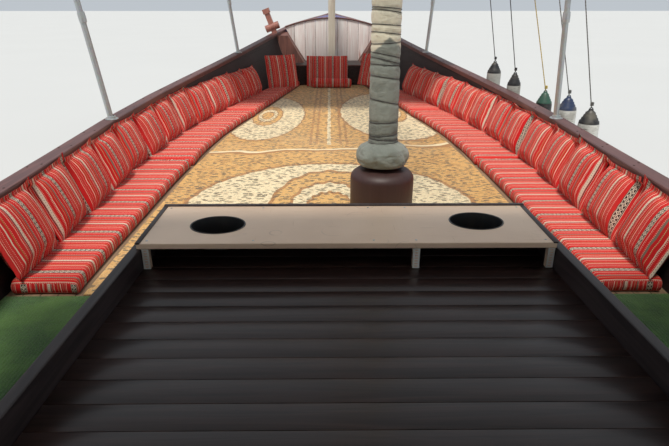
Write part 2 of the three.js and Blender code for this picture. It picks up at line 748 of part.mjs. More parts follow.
const turf = common(
  innerVolume(BULWARK_THICK + 12),
  block(-4000, 4000, POOP_Y + 4, SEAT_FROM - 12, DECK_Z, DECK_Z + TURF_THICK),
);
piece('deck_turf', cut(turf, [slabOf([
  [HATCH.x - HATCH.halfAft - 4, HATCH.aft - 4],
  [HATCH.x + HATCH.halfAft + 4, HATCH.aft - 4],
  [HATCH.x + HATCH.halfFore + 4, SEAT_FROM + 100],
  [HATCH.x - HATCH.halfFore - 4, SEAT_FROM + 100],
], DECK_Z - 50, DECK_Z + 100)]), 'turf');

// Mast

piece('mast_drum', turned([
  [0, 0], [DRUM.r, 0], [DRUM.r, DRUM.height - 85], [DRUM.r - 12, DRUM.height - 52],
  [DRUM.r - 40, DRUM.height - 25], [DRUM.r - 85, DRUM.height - 8], [DRUM.r - 135, DRUM.height],
  [0, DRUM.height],
], 32).translate(MAST.x, MAST.y, DECK_Z), 'dark');

function mastRadius(z) {
  return THREE.MathUtils.lerp(MAST_R.foot, MAST_R.head, z / MAST.length);
}
const drumTop = (DRUM.height - STEP_UP) / Math.cos(MAST.rake);
const mastFoot = drumTop + MAST_R.foot * Math.sin(MAST.rake) + TOUCH;
piece('mast', turned([
  [0, mastFoot], [mastRadius(mastFoot), mastFoot], [MAST_R.head, MAST.length],
  [MAST_R.head + 25, MAST.length + 10], [MAST_R.head + 25, MAST.length + 70],
  [30, MAST.length + 120], [0, MAST.length + 120],
], 24), 'mast', rig);

const WRAP = [[130, 80], [186, 94], [211, 130], [219, 172], [208, 217], [172, 254], [134, 275],
  [120, 306], [117, 400], [117, 620], [116, 900], [115, 1300], [113, 2500], [98, 2560]]; // radius, height
const wrapFace = [...WRAP, [mastRadius(2560) + TOUCH, 2560], [mastRadius(80) + TOUCH, 80]];
piece('mast_canvas', turned([...wrapFace, WRAP[0]], 24), 'canvas', rig);

// Shrouds

const SHROUD_Z = 5150; // up the mast
const SHROUD_R = 11;
function shrouds() {
  const collar = turned([
    [mastRadius(SHROUD_Z) + TOUCH, SHROUD_Z - 50], [mastRadius(SHROUD_Z) + 26, SHROUD_Z - 50],
    [mastRadius(SHROUD_Z) + 26, SHROUD_Z + 50], [mastRadius(SHROUD_Z) + TOUCH, SHROUD_Z + 50],
    [mastRadius(SHROUD_Z) + TOUCH, SHROUD_Z - 50],
  ], 24);
  rig.updateMatrixWorld(true);
  collar.applyMatrix4(rig.matrixWorld);
  const head = rig.localToWorld(vec(0, -mastRadius(SHROUD_Z), SHROUD_Z));
  const y = -3420;
  const legs = [-1, 1].map((side) => {
    const foot = vec(side * (halfBreadth(y) - 30), y, railZ(y) + 45);
    const from = head.clone().add(vec(side * (mastRadius(SHROUD_Z) * 0.6 + 8), 0, 0));
    return bar(from, foot, SHROUD_R, 8);
  });
  const feet = [-1, 1].map((side) => block(-25, 25, -60, 60, -30, 70)
    .translate(side * (halfBreadth(y) - 35), y, railZ(y)));
  return cut(join([collar, ...legs, ...feet]), [belowRail(TOUCH)]);
}
piece('shrouds', shrouds(), 'rope');

// Yard with the furled sail: it hangs beside the mast and swings about it

const YARD = { side: -330, z: 5700, slope: THREE.MathUtils.degToRad(26), fore: 5000, aft: 6200 };
function yardAndSail() {
  const spar = turned([
    [0, -YARD.fore], [42, -YARD.fore], [85, -600], [85, 900], [45, YARD.aft], [0, YARD.aft],
  ], 12);
  const ties = 9;
  const from = -YARD.fore + 500;
  const to = YARD.aft - 500;
  const roll = [[0, from]];
  for (let i = 0; i <= ties; i += 1) {
    const share = i / ties;
    const z = THREE.MathUtils.lerp(from, to, share);
    const fat = 62 + 72 * Math.sin(Math.PI * (0.12 + 0.76 * share));
    roll.push([fat * 0.86, z]);
    if (i < ties) roll.push([fat, z + (to - from) / ties / 2]);
  }
  roll.push([0, to]);
  const bundle = turned(roll, 12).translate(0, -105, 0);
  const along = join([spar, bundle]); // local +Z runs aft along the spar, +Y is above it
  const basis = new THREE.Matrix4().makeBasis(
    vec(1, 0, 0),
    vec(0, Math.sin(YARD.slope), Math.cos(YARD.slope)),
    vec(0, -Math.cos(YARD.slope), Math.sin(YARD.slope)),
  );
  along.applyMatrix4(basis).translate(YARD.side, 0, YARD.z);
  const r = mastRadius(YARD.z - 40);
  const inner = (r + 0.2) / Math.cos(Math.PI / 24);
  const parrel = turned([
    [inner, YARD.z - 40], [inner + 34, YARD.z - 40], [inner + 34, YARD.z + 40],
    [inner, YARD.z + 40], [inner, YARD.z - 40],
  ], 24);
  const arm = block(YARD.side, -r - 20, -30, 30, YARD.z - 25, YARD.z + 25);
  return join([along, parrel, arm]);
}
piece('yard_and_sail', yardAndSail(), 'sail', rig);

// Awning frames and canopies

function archPoint(y, share, lift, heads) {
  const x0 = heads.port(y);
  const x1 = heads.starboard(y);
  const x = THREE.MathUtils.lerp(x0, x1, (share + 1) / 2);
  return vec(x, y, AWNING_Z + AWNING_CROWN * (1 - share * share) + lift);
}

const ARCH_SHARES = [-1, -0.66, -0.33, 0, 0.33, 0.66, 1];

const TUBE_SIDES = 8;
const UP = vec(0, 0, 1);
const AHEAD = vec(0, 1, 0);

function awningFrame(poles, heads, bows, y0, y1) {
  const parts = [];
  for (const [y, portFoot, portHead, starboardFoot, starboardHead] of poles) {
    for (const [foot, head] of [[portFoot, portHead], [starboardFoot, starboardHead]]) {
      parts.push(bar(vec(foot, y, railZ(y) - 60), vec(head, y, AWNING_Z), TUBE_R, TUBE_SIDES));
      parts.push(block(foot - 42, foot + 42, y - 42, y + 42, railZ(y) - 60, railZ(y) + 14));
    }
  }
  const stops = [y0, ...poles.map((row) => row[0]).filter((y) => y > y0 && y < y1), y1];
  for (const side of [heads.port, heads.starboard]) {
    parts.push(pipe(stops.map((y) => vec(side(y), y, AWNING_Z)), TUBE_R, TUBE_SIDES, UP));
  }
  for (const y of bows) {
    const arch = ARCH_SHARES.map((share) => archPoint(y, share, 0, heads));
    parts.push(pipe(arch, TUBE_R, TUBE_SIDES, AHEAD));
  }
  return parts;
}

function canopy(ys, heads) {
  const low = TUBE_R + 0.8;
  return loft(ys.map((y) => [
    ...ARCH_SHARES.map((share) => archPoint(y, share, low, heads)),
    ...[...ARCH_SHARES].reverse().map((share) => archPoint(y, share, low + CANOPY_THICK, heads)),
  ]));
}

const aftHeads = { port: linear(POLES_AFT, 2), starboard: linear(POLES_AFT, 4) };
const AFT_AWNING = { y0: -9150, y1: -3100 };
const aftBows = [-9000, -6500, -4800, -3150];
const aftFrame = awningFrame(POLES_AFT, aftHeads, aftBows, AFT_AWNING.y0, AFT_AWNING.y1);
piece('awning_frame_aft', cut(join(aftFrame), [belowRail(TOUCH)]), 'tube');
piece('awning_aft', canopy([AFT_AWNING.y0, ...aftBows, AFT_AWNING.y1], aftHeads), 'awning');

const foreRows = [[-2900, 0, -2130, 0, 2130], ...POLES_FORE, [6500, 0, -1560, 0, 1500]];
const foreHeads = { port: linear(foreRows, 2), starboard: linear(foreRows, 4) };
const FORE_AWNING = { y0: 3150, y1: 6450 };
const foreBows = [3200, 5000, 6400];
const strut = bar(
  archPoint(6400, 0, 0, foreHeads),
  vec(0, BOW_POST.y, AWNING_Z - 40),
  TUBE_R,
  TUBE_SIDES,
);
const postSide = BOW_POST.half + TOUCH;
piece('awning_frame_fore', cut(join([
  ...awningFrame(POLES_FORE, foreHeads, foreBows, -2900, 6500),
  strut,
]), [
  belowRail(TOUCH),
  block(-postSide, postSide, BOW_POST.y - postSide, BOW_POST.y + postSide, 0, AWNING_Z + 100),
]), 'tube');
piece('awning_fore', canopy([FORE_AWNING.y0, ...foreBows, FORE_AWNING.y1], foreHeads), 'awning');

// Fenders on lines from the starboard side tube

FENDERS.forEach(([y, x, height, radius], i) => {
  const profile = [[0, -FENDER_LENGTH], [radius * 0.6, -FENDER_LENGTH + 12],
    [radius, -FENDER_LENGTH + 90], [radius, -110], [radius * 0.62, -45], [26, -18], [26, 24], [0, 24]];
  const top = vec(foreHeads.starboard(y), y, AWNING_Z - TUBE_R - 1);
  const eye = vec(x, y, DECK_Z + height);
  const body = turned(profile, 12).translate(eye.x, eye.y, eye.z);
  piece(`fender_${i + 1}`, join([body, bar(eye, top, 8, 8)]), 'fender');
});

// Poop, helm and bench

const LOCKER = { x: -900, width: 620, depth: 450, z0: DECK_Z + 60, z1: POOP_Z - 80 };
const DOOR = { thick: 28, lap: 30, y: POOP_Y + 6 };
const hinge = { x: LOCKER.x - LOCKER.width / 2 - DOOR.lap, y: DOOR.y + DOOR.thick / 2 };

function poop() {
  const aftFace = plateAcross([
    [-12000, -2000], [STERN_FOOT_Y + 40, RABBET_Z], [STERN_Y + 40, railZ(STERN_Y) - CAP_THICK],
    [STERN_Y + 40 - 400, 4000], [-12000, 4000],
  ], -4000, 4000);
  const filled = join([
    cut(fitted(-4000, 4000, -12000, POOP_Y - TOUCH, DECK_UNDER, POOP_Z), [aftFace]),
    block(-520, 520, POOP_Y - 20, POOP_Y + 300, DECK_Z + TURF_THICK + 1, DECK_Z + 280),
  ]);
  const { x, width, depth, z0, z1 } = LOCKER;
  const inside = block(x - width / 2, x + width / 2, POOP_Y - depth, POOP_Y + 60, z0, z1);
  const lugY = hinge.y - DOOR.thick / 2 - 0.4;
  const lugs = [z0 + 40, z1 - 100].map(
    (z) => block(hinge.x - 12, hinge.x + 12, POOP_Y - 20, lugY, z, z + 60),
  );
  return join([cut(filled, [inside]), ...lugs]);
}
piece('poop_deck', poop(), 'deck');

const doorTop = LOCKER.z1 + DOOR.lap;
const doorFoot = LOCKER.z0 - DOOR.lap;
const doorEdge = LOCKER.x + LOCKER.width / 2 + DOOR.lap;
piece('locker_door', join([
  block(hinge.x, doorEdge, DOOR.y, DOOR.y + DOOR.thick, doorFoot, doorTop),
  bar(vec(hinge.x, hinge.y, doorFoot), vec(hinge.x, hinge.y, doorTop), DOOR.thick / 2, 12),
]), 'cap');

const shaftY = HELM.y - HELM.depth / 2;
const shaftHole = bar(vec(HELM.x, shaftY + 120, HELM.wheelZ), vec(HELM.x, shaftY - 60, HELM.wheelZ), 21, 16);
piece('helm_console', cut(plateAcross([
  [HELM.y - HELM.depth / 2, POOP_Z], [HELM.y + HELM.depth / 2, POOP_Z],
  [HELM.y + HELM.depth / 2 - 40, POOP_Z + HELM.height + 60],
  [HELM.y - HELM.depth / 2, POOP_Z + HELM.height],
], HELM.x - HELM.width / 2, HELM.x + HELM.width / 2), [shaftHole]), 'dark');

function helmWheel() {
  const rim = new THREE.TorusGeometry(HELM.wheelR, 17, 6, 24);
  const hub = new THREE.CylinderGeometry(55, 55, 60, 16).rotateX(Math.PI / 2);
  const shaft = new THREE.CylinderGeometry(20, 20, 200, 16).rotateX(Math.PI / 2);
  const spokes = [0, 1, 2].map((i) => {
    const angle = (i * Math.PI) / 3;
    const reach = HELM.wheelR + 95;
    return bar(
      vec(-reach * Math.cos(angle), -reach * Math.sin(angle), 0),
      vec(reach * Math.cos(angle), reach * Math.sin(angle), 0),
      13,
      8,
    );
  });
  const wheel = join([rim, hub, shaft.translate(0, 0, -80), ...spokes]);
  return wheel.rotateX(Math.PI / 2).translate(HELM.x, shaftY - 70, HELM.wheelZ);
}
piece('helm_wheel', helmWheel(), 'cap');

piece('helm_bench', block(-750, 750, -9150, -8750, POOP_Z, POOP_Z + 420), 'deck');

// Stern post, transom and rudder, drawn along the rake

const POST_TOP = 2500;
const GUDGEONS = [330, 1180, 2300]; // heights along the stern post
const PINTLE_R = 14;

function sternPost() {
  const post = plateAcross([
    [-TOUCH, -150], [-STERN_POST_DEPTH, -150 + STERN_POST_DEPTH * Math.tan(sternRake)],
    [-STERN_POST_DEPTH, POST_TOP - 80], [-STERN_POST_DEPTH + 60, POST_TOP], [-TOUCH, POST_TOP],
  ], -POST_HALF, POST_HALF);
  const holeR = (PINTLE_R + 0.6) / Math.cos(Math.PI / 16);
  const lugs = GUDGEONS.map((z) => cut(
    block(-34, 34, -RUDDER_AXIS - 34, -STERN_POST_DEPTH + 20, z - 25, z + 25),
    [bar(vec(0, -RUDDER_AXIS, z - 60), vec(0, -RUDDER_AXIS, z + 60), holeR, 16)],
  ));
  const under = block(-900, 900, -900, 900, -900, 0).rotateX(-sternRake);
  return cut(join([post, ...lugs]), [under.translate(0, 0, TOUCH)]);
}
piece('stern_post', sternPost(), 'keel', stern);

function rudder() {
  const aft = (distance) => -RUDDER_AXIS - distance;
  const slope = Math.tan(sternRake);
  const blade = plateAcross([
    [aft(0), 70], [aft(680), 70 + 680 * slope], [aft(720), 420 + 680 * slope], [aft(560), 1450],
    [aft(190), 1700], [aft(150), 3380], [aft(0), 3380],
  ], -RUDDER_HALF, RUDDER_HALF);
  const edge = bar(vec(0, aft(0), 70), vec(0, aft(0), 3380), RUDDER_HALF, 16);
  const notches = GUDGEONS.map((z) => block(-60, 60, aft(60), aft(-60), z - 45, z + 45));
  const pins = GUDGEONS.map((z) => bar(vec(0, aft(0), z - 60), vec(0, aft(0), z + 60), PINTLE_R, 16));
  const tiller = block(-38, 38, aft(520), aft(10), 3300, 3370);
  return join([cut(join([blade, edge]), notches), ...pins, tiller]);
}
piece('rudder', rudder(), 'keel', stern);

function transom() {
  const outline = LEVELS.filter((share) => share >= 0.36).map((share) => {
    const p = hullPoint(STERN_Y, share);
    return [p.x, (share * (frameTop(STERN_Y) - RABBET_Z)) / Math.cos(sternRake)];
  });
  const [topX, topZ] = outline[outline.length - 1];
  const shape = new THREE.Shape();
  shape.moveTo(-outline[0][0], outline[0][1]);
  outline.forEach(([x, z]) => shape.lineTo(x, z));
  shape.lineTo(topX + 20, topZ + CAP_THICK + 20);
  shape.quadraticCurveTo(0, topZ + CAP_THICK + 260, -topX - 20, topZ + CAP_THICK + 20);
  outline.reverse().forEach(([x, z]) => shape.lineTo(-x, z));
  const options = { depth: 60, bevelEnabled: false, curveSegments: 10 };
  const board = new THREE.ExtrudeGeometry(shape, options).rotateX(Math.PI / 2);
  const slot = block(-POST_HALF - 1, POST_HALF + 1, -400, 200, -500, POST_TOP + 1);
  return cut(board.translate(0, -TOUCH, 0), [slot]);
}
piece('transom_board', transom(), 'cap', stern);

// Propeller on its shaft in the aperture of the deadwood

function propeller() {
  const hub = turned([[0, -95], [42, -80], [60, -20], [60, 80], [0, 80]], 16).rotateX(-Math.PI / 2);
  const shaft = bar(vec(0, 60, 0), vec(0, 480, 0), 24, 16);
  const blades = [0, 1, 2].map((i) => {
    const shape = new THREE.Shape();
    shape.absellipse(0, PROP.r * 0.56, 92, PROP.r * 0.44, 0, 2 * Math.PI);
    const options = { depth: 14, bevelEnabled: false, curveSegments: 14 };
    const blade = new THREE.ExtrudeGeometry(shape, options).translate(0, 0, -7);
    // the blade stands along Z, then turns about Z for pitch and about Y to its place
    return blade.rotateX(Math.PI / 2).rotateZ(0.55).rotateY((i * 2 * Math.PI) / 3);
  });
  return join([hub, shaft, ...blades]).translate(0, PROP.y, PROP.z);
}
piece('propeller', propeller(), 'bronze');

export default dhow;
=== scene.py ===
"""Looks of a wooden dhow afloat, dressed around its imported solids.

The camera stands on the after deck and looks forward over the hatch table. Every piece is in
metres in the solids' frame: +Y is the bow, +X starboard, +Z up, and z = 0 is the waterline.
"""
import logging
import math
import random
from collections.abc import Callable, Iterable, Sequence
from dataclasses import dataclass, field, replace
from enum import Enum
from functools import cache

import bmesh
import bpy
from bmesh.types import BMesh, BMVert
from bpy.types import Material, Mesh, NodeSocket, Object
from mathutils import Matrix, Vector, noise
from mathutils.bvhtree import BVHTree


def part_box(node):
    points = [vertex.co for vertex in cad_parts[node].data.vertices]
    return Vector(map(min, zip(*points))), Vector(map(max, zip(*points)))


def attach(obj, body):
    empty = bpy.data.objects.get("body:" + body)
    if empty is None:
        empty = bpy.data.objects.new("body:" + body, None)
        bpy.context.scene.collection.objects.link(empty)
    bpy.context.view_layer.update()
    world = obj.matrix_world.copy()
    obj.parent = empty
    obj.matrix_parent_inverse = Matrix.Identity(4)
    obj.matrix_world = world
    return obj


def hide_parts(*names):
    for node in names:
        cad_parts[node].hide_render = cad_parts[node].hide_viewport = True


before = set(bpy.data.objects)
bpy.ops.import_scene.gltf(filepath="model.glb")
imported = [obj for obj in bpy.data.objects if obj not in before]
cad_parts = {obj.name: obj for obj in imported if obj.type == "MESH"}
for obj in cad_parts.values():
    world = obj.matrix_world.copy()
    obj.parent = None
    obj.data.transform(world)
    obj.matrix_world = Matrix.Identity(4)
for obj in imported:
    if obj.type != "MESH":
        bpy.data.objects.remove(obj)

log = logging.getLogger("dhow")

Colour = tuple[float, float, float]
Signal = NodeSocket | float
Point = tuple[float, float, float]

HULL = "hull"
DECK_Z = 1.1
SEAT_TOP = 1.195
SEAT_FROM = -2.21
NOISE_SEED = 5
WELD_GAP = 2e-5


class Side(Enum):
    """A side of the boat, with the sign of its X."""

    PORT = -1
    STARBOARD = 1

    @property
    def word(self) -> str:
        """The side's name in piece names."""
        return self.name.lower()


class Run(Enum):
    """The axis that a board's grain follows."""

    X = 0
    Y = 1
    Z = 2


# Materials


class Graph:
    """Wires one procedural material, one step at a time."""

    def __init__(self, name: str) -> None:
        """Starts a material.

        Args:
            name: the material's name.
        """
        self.material = bpy.data.materials.new(name)
        self.material.use_nodes = True
        self.tree = self.material.node_tree
        self.shader = self.tree.nodes["Principled BSDF"]

    def add(self, kind: str, **settings: object) -> bpy.types.Node:
        """Adds a node.

        Args:
            kind: the node's type without its ShaderNode prefix.
            settings: properties to set on it.

        Returns:
            The new node.
        """
        node = self.tree.nodes.new("ShaderNode" + kind)
        for key, value in settings.items():
            setattr(node, key, value)
        return node

    def feed(self, socket: NodeSocket, value: Signal | Colour) -> None:
        """Links a signal to a socket, or sets a constant on it.

        Args:
            socket: the input to feed.
            value: a signal, a number or a colour.
        """
        if isinstance(value, NodeSocket):
            self.tree.links.new(value, socket)
        elif isinstance(value, tuple) and len(socket.default_value) == 4:
            socket.default_value = (*value, 1.0)
        else:
            socket.default_value = value

    def math(self, operation: str, a: Signal, b: Signal = 0.0, c: Signal = 0.0) -> NodeSocket:
        """Gives the result of a Math node.

        Args:
            operation: the Math node's operation.
            a: first operand.
            b: second operand.
            c: third operand.

        Returns:
            The result.
        """
        node = self.add("Math", operation=operation)
        for socket, value in zip(node.inputs, (a, b, c)):
            self.feed(socket, value)
        return node.outputs[0]

    def plus(self, a: Signal, b: Signal) -> NodeSocket:
        """Adds two signals."""
        return self.math("ADD", a, b)

    def minus(self, a: Signal, b: Signal) -> NodeSocket:
        """Takes the second signal from the first."""
        return self.math("SUBTRACT", a, b)

    def times(self, a: Signal, b: Signal) -> NodeSocket:
        """Multiplies two signals."""
        return self.math("MULTIPLY", a, b)

    def over(self, a: Signal, b: Signal) -> NodeSocket:
        """Divides the first signal by the second."""
        return self.math("DIVIDE", a, b)

    def wave(self, distance: Signal, length: float) -> NodeSocket:
        """Gives a sine wave along a distance, from -1 to 1.

        Args:
            distance: the distance.
            length: length of one wave.

        Returns:
            The wave.
        """
        return self.math("SINE", self.times(distance, 2 * math.pi / length))

    def coords(self, channel: str = "Object") -> NodeSocket:
        """Gives a channel of the Texture Coordinate node."""
        return self.add("TexCoord").outputs[channel]

    def split(self, vector: NodeSocket) -> list[NodeSocket]:
        """Gives a vector's three numbers.

        Args:
            vector: the vector.

        Returns:
            Its X, Y and Z.
        """
        node = self.add("SeparateXYZ")
        self.feed(node.inputs[0], vector)
        return list(node.outputs)

    def join(self, x: Signal, y: Signal, z: Signal = 0.0) -> NodeSocket:
        """Makes a vector of three numbers.

        Args:
            x: first number.
            y: second number.
            z: third number.

        Returns:
            The vector.
        """
        node = self.add("CombineXYZ")
        for socket, value in zip(node.inputs, (x, y, z)):
            self.feed(socket, value)
        return node.outputs[0]

    def scaled(self, vector: NodeSocket, scale: Point) -> NodeSocket:
        """Gives a vector multiplied by a scale for each axis.

        Args:
            vector: the vector.
            scale: what each axis is multiplied by.

        Returns:
            The scaled vector.
        """
        node = self.add("Mapping")
        self.feed(node.inputs["Vector"], vector)
        node.inputs["Scale"].default_value = scale
        return node.outputs[0]

    def noise(self, vector: NodeSocket, scale: float, detail: float = 3.0, twist: float = 0.0) -> NodeSocket:
        """Gives fractal noise from 0 to 1.

        Args:
            vector: where to read it.
            scale: how fine it is.
            detail: how many octaves it has.
            twist: how far it is distorted.

        Returns:
            The noise.
        """
        node = self.add("TexNoise")
        self.feed(node.inputs["Vector"], vector)
        node.inputs["Scale"].default_value = scale
        node.inputs["Detail"].default_value = detail
        node.inputs["Distortion"].default_value = twist
        return node.outputs[0]

    def cells(self, vector: NodeSocket, scale: float) -> tuple[NodeSocket, NodeSocket]:
        """Gives the distance to the nearest of scattered points, and that point's colour.

        Args:
            vector: where to read it.
            scale: how close together the points are.

        Returns:
            The distance and the colour.
        """
        node = self.add("TexVoronoi")
        self.feed(node.inputs["Vector"], vector)
        node.inputs["Scale"].default_value = scale
        return node.outputs["Distance"], node.outputs["Color"]

    def chance(self, *numbers: Signal) -> NodeSocket:
        """Gives a random value from 0 to 1 for up to three whole numbers.

        Args:
            numbers: what the value is drawn for.

        Returns:
            The value.
        """
        node = self.add("TexWhiteNoise")
        self.feed(node.inputs["Vector"], self.join(*numbers, *[0.0] * (3 - len(numbers))))
        return node.outputs["Value"]

    def ramp(
        self, value: NodeSocket, stops: Sequence[tuple[float, Colour]], hard: bool = False
    ) -> NodeSocket:
        """Turns a value into a colour.

        Args:
            value: from 0 to 1.
            stops: positions and colours.
            hard: whether each colour holds until the next stop.

        Returns:
            The colour.
        """
        node = self.add("ValToRGB")
        band = node.color_ramp
        band.interpolation = "CONSTANT" if hard else "LINEAR"
        for i, (position, colour) in enumerate(stops):
            stop = band.elements[i] if i < 2 else band.elements.new(position)
            stop.position = position
            stop.color = (*colour, 1.0)
        self.feed(node.inputs[0], value)
        return node.outputs[0]

    def span(
        self, value: Signal, low: float, high: float, start: float = 0.0, end: float = 1.0
    ) -> NodeSocket:
        """Maps low..high to start..end, clamped.

        Args:
            value: what is mapped.
            low: the value that gives the start.
            high: the value that gives the end.
            start: first result.
            end: last result.

        Returns:
            The mapped value.
        """
        node = self.add("MapRange", interpolation_type="SMOOTHSTEP")
        for socket, number in zip(node.inputs, (value, low, high, start, end)):
            self.feed(socket, number)
        return node.outputs[0]

    def mix(self, share: Signal, a: Signal | Colour, b: Signal | Colour, mode: str = "MIX") -> NodeSocket:
        """Mixes two colours.

        Args:
            share: how much of the second one.
            a: first colour.
            b: second colour.
            mode: blend type.

        Returns:
            The mixed colour.
        """
        node = self.add("Mix", data_type="RGBA", blend_type=mode)
        for index, value in ((0, share), (6, a), (7, b)):
            self.feed(node.inputs[index], value)
        return node.outputs[2]

    def bump(self, height: NodeSocket, depth: float, under: NodeSocket | None = None) -> NodeSocket:
        """Turns a height into a normal.

        Args:
            height: from 0 to 1.
            depth: metres between the two.
            under: a normal to add it to.

        Returns:
            The normal.
        """
        node = self.add("Bump")
        node.inputs["Distance"].default_value = depth
        self.feed(node.inputs["Height"], height)
        if under is not None:
            self.feed(node.inputs["Normal"], under)
        return node.outputs[0]

    def worn_edge(self, width: float) -> NodeSocket:
        """Gives 1 along sharp edges and 0 on flat faces.

        Args:
            width: how far from the edge it reaches, in metres.

        Returns:
            The mask.
        """
        soft = self.add("Bevel", samples=4)
        soft.inputs["Radius"].default_value = width
        hard = self.add("NewGeometry")
        dot = self.add("VectorMath", operation="DOT_PRODUCT")
        self.feed(dot.inputs[0], soft.outputs[0])
        self.feed(dot.inputs[1], hard.outputs["Normal"])
        return self.span(dot.outputs["Value"], 0.99, 0.86)

    def done(
        self, colour: Signal | Colour, rough: Signal, normal: NodeSocket | None = None, **fixed: float
    ) -> Material:
        """Feeds the shader and gives the material.

        Args:
            colour: base colour.
            rough: roughness.
            normal: bumped normal.
            fixed: numbers for the shader's own sockets, spaces in their names as underscores.

        Returns:
            The finished material.
        """
        self.feed(self.shader.inputs["Base Color"], colour)
        self.feed(self.shader.inputs["Roughness"], rough)
        if normal is not None:
            self.feed(self.shader.inputs["Normal"], normal)
        for key, value in fixed.items():
            self.shader.inputs[key.replace("_", " ")].default_value = value
        return self.material


@dataclass(frozen=True)
class Boards:
    """Timber laid in boards: which way the grain runs, how wide the boards are, paint and wear."""

    name: str
    colour: Colour
    dark: Colour
    run: Run = Run.Y
    across: Run = Run.X
    pitch: float = 0.0
    length: float = 0.0
    rough: float = 0.6
    coat: float = 0.0
    worn: Colour = (0.35, 0.27, 0.2)
    wear: float = 0.3
    edge: float = 0.006
    sheer: float = 0.0
    seam: float = 0.004
    below: Colour | None = None
    shine: float = 0.5

    @cache
    def material(self) -> Material:
        """Gives the boards' material, made once.

        Returns:
            The material.
        """
        g = Graph(self.name)
        place = g.coords()
        axes = g.split(place)
        along = axes[self.run.value]
        across = axes[self.across.value]
        if self.sheer:
            lift = g.times(g.times(axes[1], axes[1]), self.sheer)
            across = g.minus(across, lift)
        stretch = [26.0, 26.0, 26.0]
        stretch[self.run.value] = 1.6
        shift = g.times(across, 0.37)
        if self.pitch:
            index = g.math("FLOOR", g.over(across, self.pitch))
            shift = g.times(g.chance(index), 7.0)
        fibre_place = g.scaled(place, tuple(stretch))
        offset = g.add("VectorMath", operation="ADD")
        g.feed(offset.inputs[0], fibre_place)
        g.feed(offset.inputs[1], g.join(shift, shift, shift))
        fibre = g.noise(offset.outputs[0], 1.0, 6.0, 1.2)
        patch = g.noise(place, 1.7, 4.0)
        colour = g.mix(g.span(fibre, 0.3, 0.72), self.dark, self.colour)
        colour = g.mix(g.span(patch, 0.35, 0.75, 0.0, 0.35), colour, self.dark)
        height = g.span(fibre, 0.2, 0.8, 0.75, 1.0)
        if self.pitch:
            tint = g.chance(index, 3.0)
            if self.length:
                step = g.plus(g.over(along, self.length), g.times(tint, 5.0))
                butt = g.math("FLOOR", step)
                tint = g.chance(index, butt)
                joint = g.math("ABSOLUTE", g.minus(g.math("FRACT", step), 0.5))
                butt_gap = g.span(joint, 0.5 - self.seam / self.length, 0.5, 0.0, 1.0)
            colour = g.mix(g.span(tint, 0.0, 1.0, 0.0, 0.38), colour, self.dark)
            within = g.math("FRACT", g.over(across, self.pitch))
            inside = g.math("ABSOLUTE", g.minus(within, 0.5))
            gap = g.span(inside, 0.5 - self.seam / self.pitch, 0.5 - self.seam * 0.3 / self.pitch)
            if self.length:
                gap = g.math("MAXIMUM", gap, butt_gap)
            colour = g.mix(gap, colour, tuple(0.25 * c for c in self.dark))
            height = g.minus(height, gap)
        scuff = g.span(g.noise(fibre_place, 0.45, 5.0), 0.56, 0.74)
        spots = g.times(g.span(patch, 0.42, 0.66), scuff)
        wear = g.times(spots, self.wear)
        if self.edge:
            rub = g.times(g.worn_edge(self.edge), g.span(g.noise(place, 9.0, 4.0), 0.36, 0.62))
            wear = g.math("MAXIMUM", wear, g.times(rub, min(1.0, self.wear * 2.2)))
        colour = g.mix(wear, colour, self.worn)
        if self.below is not None:
            line = g.plus(axes[2], g.span(g.noise(place, 3.0), 0.0, 1.0, -0.02, 0.02))
            under = g.span(line, 0.155, 0.15)
            foul = g.mix(g.span(patch, 0.3, 0.7, 0.0, 0.5), self.below, tuple(0.55 * c for c in self.below))
            colour = g.mix(under, colour, foul)
        rough = g.plus(self.rough - 0.08, g.times(patch, 0.16))
        rough = g.plus(rough, g.times(wear, 0.25))
        normal = g.bump(height, 0.0035 if self.pitch else 0.0015)
        return g.done(
            colour, rough, normal, Coat_Weight=self.coat, Coat_Roughness=0.12, Specular_IOR_Level=self.shine,
        )


@dataclass(frozen=True)
class Metal:
    """Bare or coated metal with its dirt."""

    name: str
    colour: Colour
    rough: float = 0.4
    metallic: float = 1.0
    dirt: Colour = (0.16, 0.12, 0.09)
    dirt_share: float = 0.35

    @cache
    def material(self) -> Material:
        """Gives the metal's material, made once.

        Returns:
            The material.
        """
        g = Graph(self.name)
        place = g.coords()
        spangle, tone = g.cells(place, 60.0)
        patch = g.noise(place, 3.1, 5.0)
        streak = g.noise(g.scaled(place, (30.0, 30.0, 3.0)), 1.0, 4.0)
        colour = g.mix(g.span(spangle, 0.0, 0.8, 0.0, 0.18), self.colour, tone, "SOFT_LIGHT")
        spread = g.times(g.span(patch, 0.46, 0.68), g.span(streak, 0.4, 0.62))
        spread = g.times(spread, self.dirt_share)
        colour = g.mix(spread, colour, self.dirt)
        rough = g.plus(g.times(patch, 0.2), self.rough - 0.1)
        return g.done(colour, rough, g.bump(streak, 0.0004), Metallic=self.metallic)


